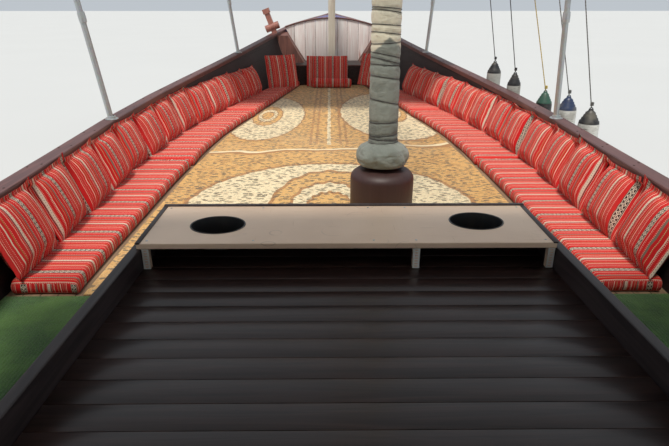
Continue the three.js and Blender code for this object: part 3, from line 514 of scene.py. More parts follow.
@dataclass(frozen=True)
class Canvas:
    """Plain woven cloth, weathered, with soft creases whose hollows are darkened as painted shade, and an
    optional painted shadow edge.
    """

    name: str
    colour: Colour
    stain: Colour
    crease: float = 0.004
    thread: float = 0.0016
    # How dark the painted shade in the crease hollows gets.
    crease_shade: float = 0.45
    # top: middle X of an arch, its height and a sunlit colour; below the arched line the cloth keeps its
    # colours as painted shade, above it takes the painted sunlit colour.
    top: tuple[float, float, Colour] | None = None

    @cache
    def material(self) -> Material:
        """Gives the cloth's material, made once.

        Returns:
            The material.
        """
        g = Graph(self.name)
        place = g.coords()
        x, y, z = g.split(place)
        patch = g.noise(place, 2.3, 5.0, 0.4)
        crease = g.noise(g.scaled(place, (1.0, 1.0, 2.4)), 7.0, 4.0, 0.8)
        warp = [g.wave(axis, self.thread) for axis in (x, y, z)]
        weave = g.times(g.plus(warp[0], warp[1]), warp[2])
        colour = g.mix(g.span(patch, 0.38, 0.7), self.colour, self.stain)
        # Painted shade: the cloth darkens in the crease hollows, where the crease height that bumps it is low.
        colour = g.mix(g.span(crease, 0.5, 0.3, 0.0, self.crease_shade), colour, tuple(0.6 * c for c in self.stain))
        # Painted shadow edge: shaded colours below an arched line, and the sunlit upper colour with stain
        # patches above it.
        if self.top is not None:
            middle, height, upper = self.top
            arch = g.times(g.math("ABSOLUTE", g.minus(x, middle)), 0.9)
            edge = g.plus(g.plus(z, arch), g.span(crease, 0.0, 1.0, -0.02, 0.02))
            painted_sunlit_colour = g.mix(g.span(patch, 0.4, 0.75, 0.0, 0.3), upper, self.stain)
            colour = g.mix(g.span(edge, height - 0.012, height + 0.012), colour, painted_sunlit_colour)
        normal = g.bump(crease, self.crease)
        normal = g.bump(weave, 0.0002, normal)
        return g.done(colour, 0.88, normal, Sheen_Weight=0.15)


# Colours of the woven stripes, and one repeat of them: width in millimetres and colour
RED: Colour = (0.66, 0.014, 0.016)
CORAL: Colour = (0.64, 0.045, 0.035)
MAROON: Colour = (0.26, 0.012, 0.018)
CREAM: Colour = (0.74, 0.63, 0.5)
OLIVE: Colour = (0.36, 0.27, 0.07)
INK: Colour = (0.016, 0.013, 0.016)
GREY: Colour = (0.2, 0.17, 0.13)
STRIPES = (
    (3, INK), (3, CREAM), (26, INK), (3, CREAM), (3, INK), (28, RED), (2, CREAM), (13, RED), (5, CORAL),
    (15, RED), (5, CREAM), (12, RED), (2, OLIVE), (24, RED), (3, CREAM), (14, RED), (2, CREAM), (9, MAROON),
    (2, CREAM), (17, CREAM), (28, RED), (3, CREAM), (18, RED), (3, OLIVE), (14, RED), (11, GREY), (34, RED),
    (3, CREAM), (18, RED), (3, CREAM),
)
MOTIF_BAND = 2
LOZENGE_BAND = 19


@dataclass(frozen=True)
class StripedWeave:
    """Traditional striped cloth: bands across U, small woven figures along V."""

    name: str = "striped_weave"
    figure: float = 0.034

    def band(self, index: int) -> tuple[float, float]:
        """Gives a stripe's middle and half width, as shares of the repeat.

        Args:
            index: the stripe's place in the repeat.

        Returns:
            The middle and the half width.
        """
        total = sum(width for width, _ in STRIPES)
        start = sum(width for width, _ in STRIPES[:index])
        return (start + STRIPES[index][0] / 2) / total, STRIPES[index][0] / 2 / total

    @cache
    def material(self) -> Material:
        """Gives the weave's material, made once.

        Returns:
            The material.
        """
        g = Graph(self.name)
        total = sum(width for width, _ in STRIPES)
        uv = g.coords("UV")
        u, v, _ = g.split(uv)
        wobble = g.span(g.noise(uv, 7.0, 2.0), 0.0, 1.0, -0.004, 0.004)
        share = g.math("FRACT", g.over(g.plus(u, wobble), total / 1000))
        stops, start = [], 0.0
        for width, colour in STRIPES:
            stops.append((start / total, colour))
            start += width
        colour = g.ramp(share, stops, hard=True)
        figures = ((MOTIF_BAND, self.figure, INK, CREAM), (LOZENGE_BAND, 0.6 * self.figure, CREAM, INK))
        for index, length, ground, ink in figures:
            middle, half = self.band(index)
            beat = g.over(g.math("PINGPONG", v, length / 2), length / 2)
            offset = g.over(g.minus(share, middle), half)
            within = g.math("LESS_THAN", g.math("ABSOLUTE", offset), 1.0)
            reach = g.plus(g.math("ABSOLUTE", offset), beat)
            figure = g.math("LESS_THAN", reach, 0.3)
            if index == MOTIF_BAND:
                figure = g.math("MAXIMUM", figure, g.math("COMPARE", reach, 0.85, 0.24))
            colour = g.mix(within, colour, g.mix(figure, ground, ink))
        dashes = g.math("GREATER_THAN", g.math("FRACT", g.over(v, 0.012)), 0.5)
        thin = g.chance(g.math("FLOOR", g.times(share, 96.0)))
        dotted = g.times(g.times(dashes, g.math("GREATER_THAN", thin, 0.78)), 0.55)
        colour = g.mix(dotted, colour, CREAM)
        fade = g.noise(g.coords(), 1.9, 4.0)
        colour = g.mix(g.span(fade, 0.4, 0.75, 0.0, 0.12), colour, (0.72, 0.2, 0.15))
        threads = g.wave(v, 0.004)
        rows = g.wave(u, 0.003)
        weave = g.times(threads, rows)
        rumple = g.noise(g.coords(), 16.0, 4.0, 0.6)
        normal = g.bump(rumple, 0.006)
        normal = g.bump(weave, 0.0004, normal)
        return g.done(colour, 0.92, normal, Specular_IOR_Level=0.25)


@dataclass(frozen=True)
class PileRug:
    """Carpet pile with oval medallions, lobed centres and border lines, in the boat's own X and Y."""

    name: str = "rug_pile"
    field_tan: Colour = (0.74, 0.43, 0.13)
    deep_tan: Colour = (0.42, 0.19, 0.05)
    cream: Colour = (0.87, 0.75, 0.48)
    speck: Colour = (0.085, 0.06, 0.03)
    great: tuple[float, ...] = (-0.05, -0.68, 1.3, 1.4, 0.53, 1.08)
    runners: tuple[tuple[float, ...], ...] = (
        (-1.03, 3.5, 0.57, 1.64, 0.22, 0.72), (0.95, 3.75, 0.82, 1.9, 0.23, 0.75),
    )
    seams: tuple[float, ...] = (-0.07, -0.05)
    bands: tuple[float, ...] = (-0.3, -0.22, 0.09, 0.17)

    def oval(self, g: Graph, x: Signal, y: Signal, shape: Sequence[float]) -> tuple[NodeSocket, NodeSocket]:
        """Gives the distance in shares of an oval's size, and the angle about its middle.

        Args:
            g: the material.
            x: place across the boat.
            y: place along the boat.
            shape: the oval's middle and half sizes.

        Returns:
            The distance and the angle.
        """
        dx = g.over(g.minus(x, shape[0]), shape[2])
        dy = g.over(g.minus(y, shape[1]), shape[3])
        away = g.math("SQRT", g.plus(g.times(dx, dx), g.times(dy, dy)))
        return away, g.math("ARCTAN2", dy, dx)

    def lobed(self, g: Graph, away: Signal, angle: Signal, lobes: int, depth: float) -> NodeSocket:
        """Gives a distance whose contours are lobed.

        Args:
            g: the material.
            away: the plain distance.
            angle: the angle about the middle.
            lobes: how many lobes it has.
            depth: how deep they are.

        Returns:
            The lobed distance.
        """
        wave = g.math("COSINE", g.times(angle, float(lobes)))
        return g.minus(away, g.times(wave, depth))

    def medallion(self, g: Graph, colour: Signal, x: Signal, y: Signal, shape: Sequence[float]) -> NodeSocket:
        """Lays one medallion over a colour.

        Args:
            g: the material.
            colour: what lies under it.
            x: place across the boat.
            y: place along the boat.
            shape: its middle, and the half sizes of the whole and of its heart.

        Returns:
            The colour with the medallion.
        """
        away, angle = self.oval(g, x, y, shape[:4])
        outer = self.lobed(g, away, angle, 36, 0.006)
        heart, turn = self.oval(g, x, y, (*shape[:2], *shape[4:]))
        inner = self.lobed(g, heart, turn, 16, 0.02)
        rings = (
            (outer, 1.035, self.deep_tan), (outer, 1.0, self.cream), (inner, 1.07, self.deep_tan),
            (inner, 1.0, self.field_tan), (inner, 0.72, self.deep_tan), (inner, 0.66, self.cream),
            (inner, 0.42, self.deep_tan), (inner, 0.36, self.field_tan),
        )
        for distance, edge, tone in rings:
            colour = g.mix(g.span(distance, edge + 0.006, edge - 0.006), colour, tone)
        return colour

    def specks(self, g: Graph, place: NodeSocket, drift: NodeSocket, scale: float, size: float) -> NodeSocket:
        """Gives scattered dashes that lie athwart, as a mask.

        Args:
            g: the material.
            place: where to read it.
            drift: noise that bends their rows.
            scale: how close together they are.
            size: how large they are.

        Returns:
            The mask.
        """
        bent = g.add("VectorMath", operation="ADD")
        g.feed(bent.inputs[0], g.scaled(place, (0.62, 1.3, 1.0)))
        g.feed(bent.inputs[1], g.join(0.0, g.times(drift, 0.2)))
        away, tone = g.cells(bent.outputs[0], scale)
        ragged = g.plus(away, g.span(g.noise(place, 90.0, 2.0), 0.2, 0.8, -0.12, 0.12))
        kept = g.math("GREATER_THAN", g.split(tone)[0], 0.12)
        return g.times(g.span(ragged, size, size - 0.06), kept)

    @cache
    def material(self) -> Material:
        """Gives the rug's material, made once.

        Returns:
            The material.
        """
        g = Graph(self.name)
        place = g.coords()
        drift = g.noise(place, 5.0, 3.0)
        x0, y0, _ = g.split(place)
        wander = g.span(drift, 0.2, 0.8, -0.009, 0.009)
        x, y = g.plus(x0, wander), g.plus(y0, wander)
        patch = g.span(g.noise(place, 11.0, 4.0, 0.8), 0.42, 0.7, 0.0, 0.6)
        colour = g.mix(patch, self.field_tan, self.deep_tan)
        forward = g.math("GREATER_THAN", y0, 1.6)
        for line in self.bands:
            band = g.times(g.math("COMPARE", x, line, 0.018), forward)
            colour = g.mix(g.times(band, 0.8), colour, self.deep_tan)
        for line in self.seams:
            colour = g.mix(g.times(g.math("COMPARE", x, line, 0.013), forward), colour, self.cream)
        for shape in (self.great, *self.runners):
            colour = self.medallion(g, colour, x, y, shape)
        curls = g.noise(g.scaled(place, (1.0, 1.35, 1.0)), 7.5, 2.0, 1.5)
        sprays = g.math("LESS_THAN", g.math("FRACT", g.times(curls, 10.0)), 0.34)
        colour = g.mix(g.times(sprays, 0.42), colour, self.deep_tan)
        dash = self.specks(g, place, drift, 23.0, 0.42)
        colour = g.mix(g.times(dash, 0.85), colour, self.speck)
        flecks, _ = g.cells(place, 62.0)
        colour = g.mix(g.times(g.span(flecks, 0.28, 0.18), 0.5), colour, self.cream)
        sway = g.span(g.noise(place, 1.6, 2.0), 0.2, 0.8, -0.09, 0.09)
        edge = g.plus(g.math("MULTIPLY_ADD", x0, -0.15, y0), sway)
        colour = g.mix(g.math("COMPARE", edge, 1.36, 0.05), colour, self.deep_tan)
        colour = g.mix(g.math("COMPARE", edge, 1.42, 0.03), colour, self.cream)
        worn = g.noise(place, 0.9, 4.0)
        colour = g.mix(g.span(worn, 0.42, 0.72, 0.0, 0.15), colour, (0.5, 0.4, 0.27))
        pile = g.noise(place, 420.0, 2.0)
        normal = g.bump(pile, 0.003)
        normal = g.bump(dash, 0.001, normal)
        return g.done(colour, 0.96, normal, Sheen_Weight=0.25)


@dataclass(frozen=True)
class Turf:
    """Short artificial grass."""

    name: str = "turf_blades"
    green: Colour = (0.07, 0.24, 0.035)
    light: Colour = (0.2, 0.42, 0.07)

    @cache
    def material(self) -> Material:
        """Gives the turf's material, made once.

        Returns:
            The material.
        """
        g = Graph(self.name)
        place = g.coords()
        patch = g.noise(place, 4.0, 5.0)
        blades = g.noise(g.scaled(place, (1.0, 1.0, 0.2)), 190.0, 3.0, 1.5)
        # Painted shade and highlight: the blade height that bumps the turf also darkens its low parts and
        # lightens its tips.
        colour = g.mix(g.span(blades, 0.42, 0.66), tuple(0.35 * c for c in self.green), self.green)
        colour = g.mix(g.span(blades, 0.6, 0.8), colour, self.light)
        colour = g.mix(g.span(patch, 0.4, 0.7, 0.0, 0.4), colour, self.light)
        rows = g.wave(g.split(place)[0], 0.02)
        normal = g.bump(blades, 0.008)
        normal = g.bump(rows, 0.0006, normal)
        return g.done(colour, 0.75, normal, Sheen_Weight=0.2)


@dataclass(frozen=True)
class LaidRope:
    """Three-strand rope: strands wind along the UV that its sweep wrote."""

    name: str
    colour: Colour
    grime: Colour
    lay: float = 0.03
    girth: float = 0.038

    @cache
    def material(self) -> Material:
        """Gives the rope's material, made once.

        Returns:
            The material.
        """
        g = Graph(self.name)
        u, v, _ = g.split(g.coords("UV"))
        turn = g.plus(g.over(u, self.lay), g.over(v, self.girth))
        strand = g.math("PINGPONG", turn, 0.5)
        dirt = g.noise(g.coords(), 6.0, 5.0)
        hairs = g.noise(g.coords(), 500.0, 2.0)
        # Painted shade: the grooves between the strands are darkened to 0.4 of the rope's colour.
        colour = g.mix(g.span(strand, 0.0, 0.2), tuple(0.4 * c for c in self.colour), self.colour)
        colour = g.mix(g.span(dirt, 0.42, 0.66, 0.0, 0.7), colour, self.grime)
        normal = g.bump(g.span(strand, 0.0, 0.5), 0.003)
        normal = g.bump(hairs, 0.0006, normal)
        return g.done(colour, 0.85, normal, Sheen_Weight=0.2)


@dataclass(frozen=True)
class FenderSkin:
    """Scuffed vinyl of a fender, in another colour above a height and, where given, a third colour below a
    lower height.
    """

    name: str
    body: Colour
    head: Colour
    split: float
    foot: Colour | None = None
    foot_split: float = 0.0

    @cache
    def material(self) -> Material:
        """Gives the skin's material, made once.

        Returns:
            The material.
        """
        g = Graph(self.name)
        place = g.coords()
        z = g.split(place)[2]
        scuff = g.noise(g.scaled(place, (2.0, 2.0, 12.0)), 9.0, 5.0)
        patch = g.noise(place, 7.0, 4.0)
        colour = g.mix(g.span(z, self.split - 0.004, self.split + 0.004), self.body, self.head)
        if self.foot is not None:
            colour = g.mix(g.span(z, self.foot_split + 0.004, self.foot_split - 0.004), colour, self.foot)
        colour = g.mix(g.span(patch, 0.42, 0.68, 0.0, 0.6), colour, (0.2, 0.18, 0.14))
        colour = g.mix(g.span(scuff, 0.58, 0.7, 0.0, 0.7), colour, (0.08, 0.075, 0.07))
        rough = g.math("MULTIPLY_ADD", patch, 0.3, 0.3)
        return g.done(colour, rough, g.bump(scuff, 0.0012))


@dataclass(frozen=True)
class Laminate:
    """Pale board with fine scratches, cup stains and rubbed corners."""

    name: str
    colour: Colour
    stain: Colour
    rough: float = 0.34

    @cache
    def material(self) -> Material:
        """Gives the laminate's material, made once.

        Returns:
            The material.
        """
        g = Graph(self.name)
        place = g.coords()
        patch = g.noise(place, 2.2, 5.0)
        scratch = g.noise(g.scaled(place, (2.0, 60.0, 2.0)), 3.0, 5.0, 0.4)
        crossing = g.noise(g.scaled(place, (70.0, 3.0, 2.0)), 2.0, 5.0, 0.6)
        marks = g.math("MAXIMUM", g.span(scratch, 0.64, 0.72), g.span(crossing, 0.66, 0.74))
        rim, _ = g.cells(place, 5.0)
        ring = g.times(g.math("COMPARE", rim, 0.3, 0.012), g.span(patch, 0.5, 0.6))
        colour = g.mix(g.span(patch, 0.38, 0.68, 0.0, 0.45), self.colour, self.stain)
        colour = g.mix(g.times(marks, 0.3), colour, tuple(0.7 * c for c in self.stain))
        colour = g.mix(g.times(ring, 0.35), colour, tuple(0.5 * c for c in self.stain))
        colour = g.mix(g.times(g.worn_edge(0.005), 0.5), colour, tuple(0.4 * c for c in self.stain))
        rough = g.plus(g.times(marks, 0.25), g.math("MULTIPLY_ADD", patch, 0.2, self.rough - 0.1))
        return g.done(colour, rough, g.bump(marks, 0.0004))


# The boat's finishes
BLACK_GLOSS = Boards("gloss_black_brown", (0.04, 0.021, 0.018), (0.018, 0.01, 0.009), run=Run.X,
                     across=Run.Y, rough=0.32, coat=0.06, worn=(0.14, 0.085, 0.07), wear=0.2, shine=0.34)
COAMING_GLOSS = Boards("coaming_black_brown", (0.05, 0.035, 0.035), (0.02, 0.014, 0.015), rough=0.42,
                       worn=(0.16, 0.11, 0.1), wear=0.3, shine=0.3)
DRUM_PAINT = Boards("drum_maroon", (0.05, 0.021, 0.019), (0.04, 0.017, 0.015), run=Run.Z, rough=0.52,
                    worn=(0.12, 0.06, 0.05), wear=0.15)
RAIL_VARNISH = Boards("rail_varnish", (0.17, 0.068, 0.06), (0.09, 0.036, 0.034), rough=0.5, coat=0.06,
                      worn=(0.36, 0.2, 0.17), wear=0.5, edge=0.012)
BULWARK_PAINT = Boards("bulwark_dark_paint", (0.035, 0.026, 0.028), (0.017, 0.013, 0.015), across=Run.Z,
                       pitch=0.19, rough=0.55, sheer=0.005, worn=(0.14, 0.1, 0.085), wear=0.35, seam=0.003)
HULL_TIMBER = Boards("hull_planking", (0.26, 0.135, 0.06), (0.12, 0.06, 0.028), across=Run.Z, pitch=0.17,
                     length=3.6, rough=0.5, coat=0.12, sheer=0.007, worn=(0.42, 0.31, 0.2), wear=0.45,
                     seam=0.005, below=(0.42, 0.4, 0.36))
POST_TIMBER = Boards("post_timber", (0.2, 0.1, 0.05), (0.09, 0.045, 0.022), run=Run.Z, rough=0.5, coat=0.1,
                     worn=(0.4, 0.3, 0.2), wear=0.4, edge=0.014, below=(0.4, 0.38, 0.34))
DECK_TIMBER = Boards("deck_planks", (0.38, 0.26, 0.16), (0.2, 0.13, 0.08), pitch=0.11, length=2.8, rough=0.7,
                     worn=(0.5, 0.42, 0.32), wear=0.45, seam=0.005)
HELM_TIMBER = Boards("helm_timber", (0.24, 0.1, 0.055), (0.12, 0.05, 0.03), run=Run.Z, rough=0.35, coat=0.4,
                     worn=(0.42, 0.27, 0.18), wear=0.35)
WHITE_PLANKS = Boards("white_planks", (0.86, 0.84, 0.82), (0.74, 0.64, 0.62), run=Run.Z, across=Run.X,
                      rough=0.6, worn=(0.55, 0.34, 0.31), wear=1.6)
FLARE_PAINT = Boards("flare_red_brown", (0.27, 0.11, 0.085), (0.13, 0.06, 0.05), run=Run.Z, across=Run.Y,
                     pitch=0.13, rough=0.65, worn=(0.5, 0.36, 0.3), wear=0.8)
# Grey-violet deck paint, with more blue in it as painted reflection of the sky.
FORECASTLE_PAINT_AND_SKY = Boards("forecastle_purple", (0.17, 0.15, 0.34), (0.11, 0.1, 0.22), pitch=0.12, rough=0.55,
                          worn=(0.34, 0.3, 0.4), wear=0.5)
BOW_POST_PAINT = Boards("bow_post_cream", (0.76, 0.72, 0.62), (0.62, 0.57, 0.47), run=Run.Z, rough=0.5,
                        worn=(0.42, 0.36, 0.28), wear=0.5)
BITT_PAINT = Boards("bitt_red_brown", (0.42, 0.17, 0.13), (0.26, 0.1, 0.08), run=Run.Z, rough=0.5, coat=0.1,
                    worn=(0.56, 0.42, 0.34), wear=0.8, edge=0.014)
SPAR_TIMBER = Boards("spar_oiled", (0.42, 0.27, 0.13), (0.25, 0.15, 0.07), run=Run.Z, rough=0.45, coat=0.15,
                     worn=(0.55, 0.42, 0.28), wear=0.4)
GALVANISED = Metal("galvanised_tube", (0.5, 0.52, 0.52), rough=0.45, metallic=0.75, dirt=(0.25, 0.2, 0.15))
STEEL = Metal("fastening_steel", (0.55, 0.55, 0.54), rough=0.3)
BRACKET_WHITE = Metal("bracket_white_coat", (0.72, 0.72, 0.7), rough=0.45, metallic=0.1)
BRONZE = Metal("dull_bronze", (0.42, 0.29, 0.12), rough=0.38, dirt=(0.12, 0.2, 0.14))
ENGINE_PAINT = Metal("engine_green", (0.09, 0.15, 0.12), rough=0.45, metallic=0.2)
LINER_BLACK = Metal("cup_liner_black", (0.012, 0.012, 0.013), rough=0.4, metallic=0.0, dirt_share=0.1)
AWNING_CLOTH = Canvas("awning_cloth", (0.64, 0.61, 0.54), (0.57, 0.53, 0.46), crease=0.005, crease_shade=0.12)
SAIL_CLOTH = Canvas("sail_cloth", (0.66, 0.61, 0.48), (0.55, 0.49, 0.37), crease=0.01, crease_shade=0.25)
# The mast wrap's grey-green colour and stain are its cream canvas in painted shade; above an arched line 2.56
# m up it turns to the painted sunlit cream.
MAST_CANVAS = Canvas("mast_canvas", (0.27, 0.29, 0.25), (0.16, 0.175, 0.15), crease=0.008,
                     top=(0.4, 2.56, (0.8, 0.74, 0.57)))
SERVING_TOP = Laminate("serving_laminate", (0.8, 0.59, 0.43), (0.64, 0.45, 0.32))
BINDING = LaidRope("binding_cord", (0.06, 0.05, 0.045), (0.03, 0.027, 0.025), lay=0.012, girth=0.02)
HEMP = LaidRope("hemp_rope", (0.4, 0.32, 0.2), (0.2, 0.16, 0.1))
BLACK_LINE = LaidRope("black_line", (0.025, 0.025, 0.028), (0.05, 0.045, 0.04))
GREY_LINE = LaidRope("grey_line", (0.2, 0.2, 0.19), (0.1, 0.1, 0.095))
YELLOW_LINE = LaidRope("yellow_line", (0.62, 0.46, 0.12), (0.35, 0.26, 0.1))


# Mesh helpers


def new_piece(
    name: str, data: Mesh, material: Material, node: str = "", body: str = HULL
) -> Object:
    """Makes a mesh a piece of the boat.

    Args:
        name: the piece's name.
        data: its mesh, in place.
        material: its material.
        node: the CAD node that it stands for, if any.
        body: the solids' body it moves with.

    Returns:
        The piece.
    """
    data.name = name
    data.materials.clear()
    data.materials.append(material)
    piece = bpy.data.objects.new(name, data)
    bpy.context.scene.collection.objects.link(piece)
    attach(piece, body)
    if node:
        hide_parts(node)
    return piece


def mesh_of(bm: BMesh, sharp: float = 40.0) -> Mesh:
    """Turns a bmesh into a mesh, smooth but for its sharp edges, and frees it.

    Args:
        bm: the bmesh.
        sharp: angle in degrees past which an edge stays sharp.

    Returns:
        The mesh.
    """
    bmesh.ops.recalc_face_normals(bm, faces=bm.faces)
    data = bpy.data.meshes.new("mesh")
    bm.to_mesh(data)
    bm.free()
    data.shade_smooth()
    data.set_sharp_from_angle(angle=math.radians(sharp))
    return data


def add_box(bm: BMesh, low: Point, high: Point, bevel: float) -> list[BMVert]:
    """Adds a box with eased edges.

    Args:
        bm: the bmesh to add to.
        low: lowest corner.
        high: highest corner.
        bevel: width of the eased edge.

    Returns:
        The box's vertices.
    """
    made = bmesh.ops.create_cube(bm, size=1.0)["verts"]
    size = [h - l for l, h in zip(low, high)]
    bmesh.ops.scale(bm, vec=size, verts=made)
    bmesh.ops.translate(bm, vec=[(l + h) / 2 for l, h in zip(low, high)], verts=made)
    if not bevel:
        return made
    edges = list({e for v in made for e in v.link_edges})
    done = bmesh.ops.bevel(
        bm, geom=edges, offset=min(bevel, 0.45 * min(size)), offset_type="OFFSET", segments=2,
        profile=0.5, affect="EDGES", material=-1, clamp_overlap=True,
    )
    return list({v for f in done["faces"] for v in f.verts} | {v for v in made if v.is_valid})


def add_turned(bm: BMesh, profile: Sequence[tuple[float, float]], steps: int = 24) -> list[BMVert]:
    """Spins a profile about Z.

    Args:
        bm: the bmesh to add to.
        profile: radius and height of each point, from one end to the other.
        steps: faces around.

    Returns:
        The turned vertices.
    """
    before = set(bm.verts)
    points = [bm.verts.new((radius, 0.0, height)) for radius, height in profile]
    edges = [bm.edges.new(pair) for pair in zip(points, points[1:])]
    bmesh.ops.spin(
        bm, geom=points + edges, cent=(0, 0, 0), axis=(0, 0, 1), dvec=(0, 0, 0),
        angle=2 * math.pi, steps=steps, use_merge=True, use_duplicate=False,
    )
    made = [v for v in bm.verts if v not in before]
    bmesh.ops.remove_doubles(bm, verts=made, dist=1e-5)
    return [v for v in bm.verts if v not in before]


def add_sweep(
    bm: BMesh, path: Sequence[Vector], radius: float, sides: int = 8, closed: bool = False
) -> list[BMVert]:
    """Sweeps a circle along a path, with UV in metres: U along it, V round it.

    Args:
        bm: the bmesh to add to.
        path: the points that the circle's centre follows.
        radius: the circle's radius.
        sides: faces around.
        closed: whether the last point joins the first.

    Returns:
        The swept vertices.
    """
    layer = bm.loops.layers.uv.verify()
    before = set(bm.verts)
    count = len(path)
    side = Vector((0, 0, 1))
    rings, lengths, travelled = [], [], 0.0
    for i, point in enumerate(path):
        ahead = path[(i + 1) % count] if closed or i + 1 < count else point
        behind = path[i - 1] if closed or i else point
        tangent = (ahead - behind).normalized()
        side = side - tangent * side.dot(tangent)
        if side.length < 1e-4:
            side = tangent.orthogonal()
        side.normalize()
        other = tangent.cross(side)
        if i:
            travelled += (point - path[i - 1]).length
        lengths.append(travelled)
        if not rings:
            ring = bmesh.ops.create_circle(bm, segments=sides, radius=radius)["verts"]
        else:
            edges = [bm.edges.get((a, b)) for a, b in zip(rings[-1], rings[-1][1:] + rings[-1][:1])]
            grown = bmesh.ops.extrude_edge_only(bm, edges=edges)["geom"]
            fresh = {v for v in grown if isinstance(v, BMVert)}
            ring = [next(o for e in v.link_edges for o in e.verts if o in fresh) for v in rings[-1]]
        for k, v in enumerate(ring):
            angle = 2 * math.pi * k / sides
            v.co = point + radius * (math.cos(angle) * side + math.sin(angle) * other)
        rings.append(ring)
    if closed:
        ends = [bm.edges.get((a, b)) for r in (rings[0], rings[-1]) for a, b in zip(r, r[1:] + r[:1])]
        bmesh.ops.bridge_loops(bm, edges=ends)
    else:
        for ring in (rings[0], rings[-1]):
            bm.faces.new(ring)
    place = {v: (i, k) for i, ring in enumerate(rings) for k, v in enumerate(ring)}
    for face in {f for ring in rings for v in ring for f in v.link_faces}:
        for loop in face.loops:
            i, k = place[loop.vert]
            loop[layer].uv = (lengths[i], k * 2 * math.pi * radius / sides)
    return [v for v in bm.verts if v not in before]


def round_turn(steps: int) -> list[float]:
    """Gives evenly spaced angles round a circle."""
    return [2 * math.pi * k / steps for k in range(steps)]


def add_binding(bm: BMesh, height: float, radius: float, thick: float, tilt: float) -> None:
    """Adds one turn of cord round the Z axis.

    Args:
        bm: the bmesh to add to.
        height: height of the turn's middle.
        radius: from the axis to the cord's own centre.
        thick: the cord's radius.
        tilt: how much higher it is on +X, per metre.
    """
    path = []
    for angle in round_turn(40):
        x, y = radius * math.cos(angle), radius * math.sin(angle)
        path.append(Vector((0, 0, height)) + Vector((x, y, tilt * x + 0.25 * tilt * y)))
    add_sweep(bm, path, thick, 6, closed=True)


def merged_copy(node: str) -> BMesh:
    """Gives a CAD node's mesh as a bmesh with its corners joined.

    Args:
        node: the CAD node's name.

    Returns:
        The merged bmesh.
    """
    bm = bmesh.new()
    bm.from_mesh(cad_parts[node].data)
    bmesh.ops.remove_doubles(bm, verts=bm.verts, dist=WELD_GAP)
    return bm


def tree_of(node: str) -> BVHTree:
    """Gives a CAD node's faces as a tree that rays are cast at.

    Args:
        node: the CAD node's name.

    Returns:
        The tree.
    """
    bm = merged_copy(node)
    tree = BVHTree.FromBMesh(bm)
    bm.free()
    return tree


def struck(tree: BVHTree, start: Sequence[float], way: Sequence[float]) -> Vector | None:
    """Gives the first point that a ray strikes."""
    return tree.ray_cast(Vector(start), Vector(way))[0]


def eased(node: str, bevel: float, sharp: float) -> None:
    """Gives a CAD node eased edges and smooth long faces, by modifiers alone.

    Args:
        node: the CAD node's name.
        bevel: width of the eased edges, in metres.
        sharp: angle past which an edge is eased.
    """
    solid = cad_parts[node]
    weld = solid.modifiers.new("weld", "WELD")
    weld.merge_threshold = WELD_GAP
    solid.data.shade_smooth()
    if bevel:
        ease = solid.modifiers.new("ease", "BEVEL")
        ease.width = bevel
        ease.segments = 2
        ease.limit_method = "ANGLE"
        ease.angle_limit = math.radians(sharp)
        ease.harden_normals = True
        level = solid.modifiers.new("level", "WEIGHTED_NORMAL")
        level.keep_sharp = True
    else:
        split = solid.modifiers.new("split", "EDGE_SPLIT")
        split.split_angle = math.radians(sharp)


def dress(nodes: Iterable[str], material: Material, bevel: float = 0.0, sharp: float = 28.0) -> None:
    """Gives CAD nodes a material and eased edges.

    Args:
        nodes: the CAD nodes' names.
        material: their material.
        bevel: width of their eased edges.
        sharp: angle past which an edge is eased.
    """
    for node in nodes:
        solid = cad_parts[node]
        solid.data.materials.clear()
        solid.data.materials.append(material)
        eased(node, bevel, sharp)
        log.info("dressed %s", node)


# Soft goods


@dataclass
class Pillow:
    """A stuffed cushion, blown up by the cloth solver: U along it, V up, W out of its face."""

    width: float
    height: float
    crown: float = 0.045
    cells: float = 0.021
    pressure: float = 20.0
    stiffness: float = 0.5
    seed: float = 0.0
    thin: float = 0.02
    cap: float = 0.06
    draw: float = 0.016

    def blank(self) -> BMesh:
        """Makes the flat, slightly crowned shape that the solver starts from.

        Returns:
            The shape.
        """
        bm = bmesh.new()
        along = max(4, round(self.width / self.cells))
        up = max(4, round(self.height / self.cells))
        bmesh.ops.create_grid(bm, x_segments=along, y_segments=up, size=0.5)
        bmesh.ops.scale(bm, vec=(self.width, self.height, 1), verts=bm.verts)
        bmesh.ops.solidify(bm, geom=bm.faces[:], thickness=self.thin)
        bmesh.ops.recalc_face_normals(bm, faces=bm.faces)
        middle = sum(v.co.z for v in bm.verts) / len(bm.verts)
        for v in bm.verts:
            u, q = 2 * v.co.x / self.width, 2 * v.co.y / self.height
            rise = self.crown * max(0.0, (1 - abs(u) ** 3) * (1 - abs(q) ** 3))
            v.co.z = v.co.z - middle + math.copysign(rise, v.co.z - middle)
            v.co += 0.004 * noise.noise_vector(Vector((9 * v.co.x + self.seed, 9 * v.co.y, self.seed)))
        return bm

    def blown(self) -> Mesh:
        """Returns:
            The cushion's mesh about its own middle.
        """
        bm = self.blank()
        data = mesh_of(bm, 180.0)
        rest = [v.co.copy() for v in data.vertices]
        data = inflate(data, self.pressure, self.stiffness)
        capped(data, rest, self.cap, self.draw)
        for v, start in zip(data.vertices, rest):
            u, q = abs(2 * start.x / self.width), abs(2 * start.y / self.height)
            v.co.z *= 0.25 + 0.75 * max(0.0, (1 - u ** 6) * (1 - q ** 6))
        return data


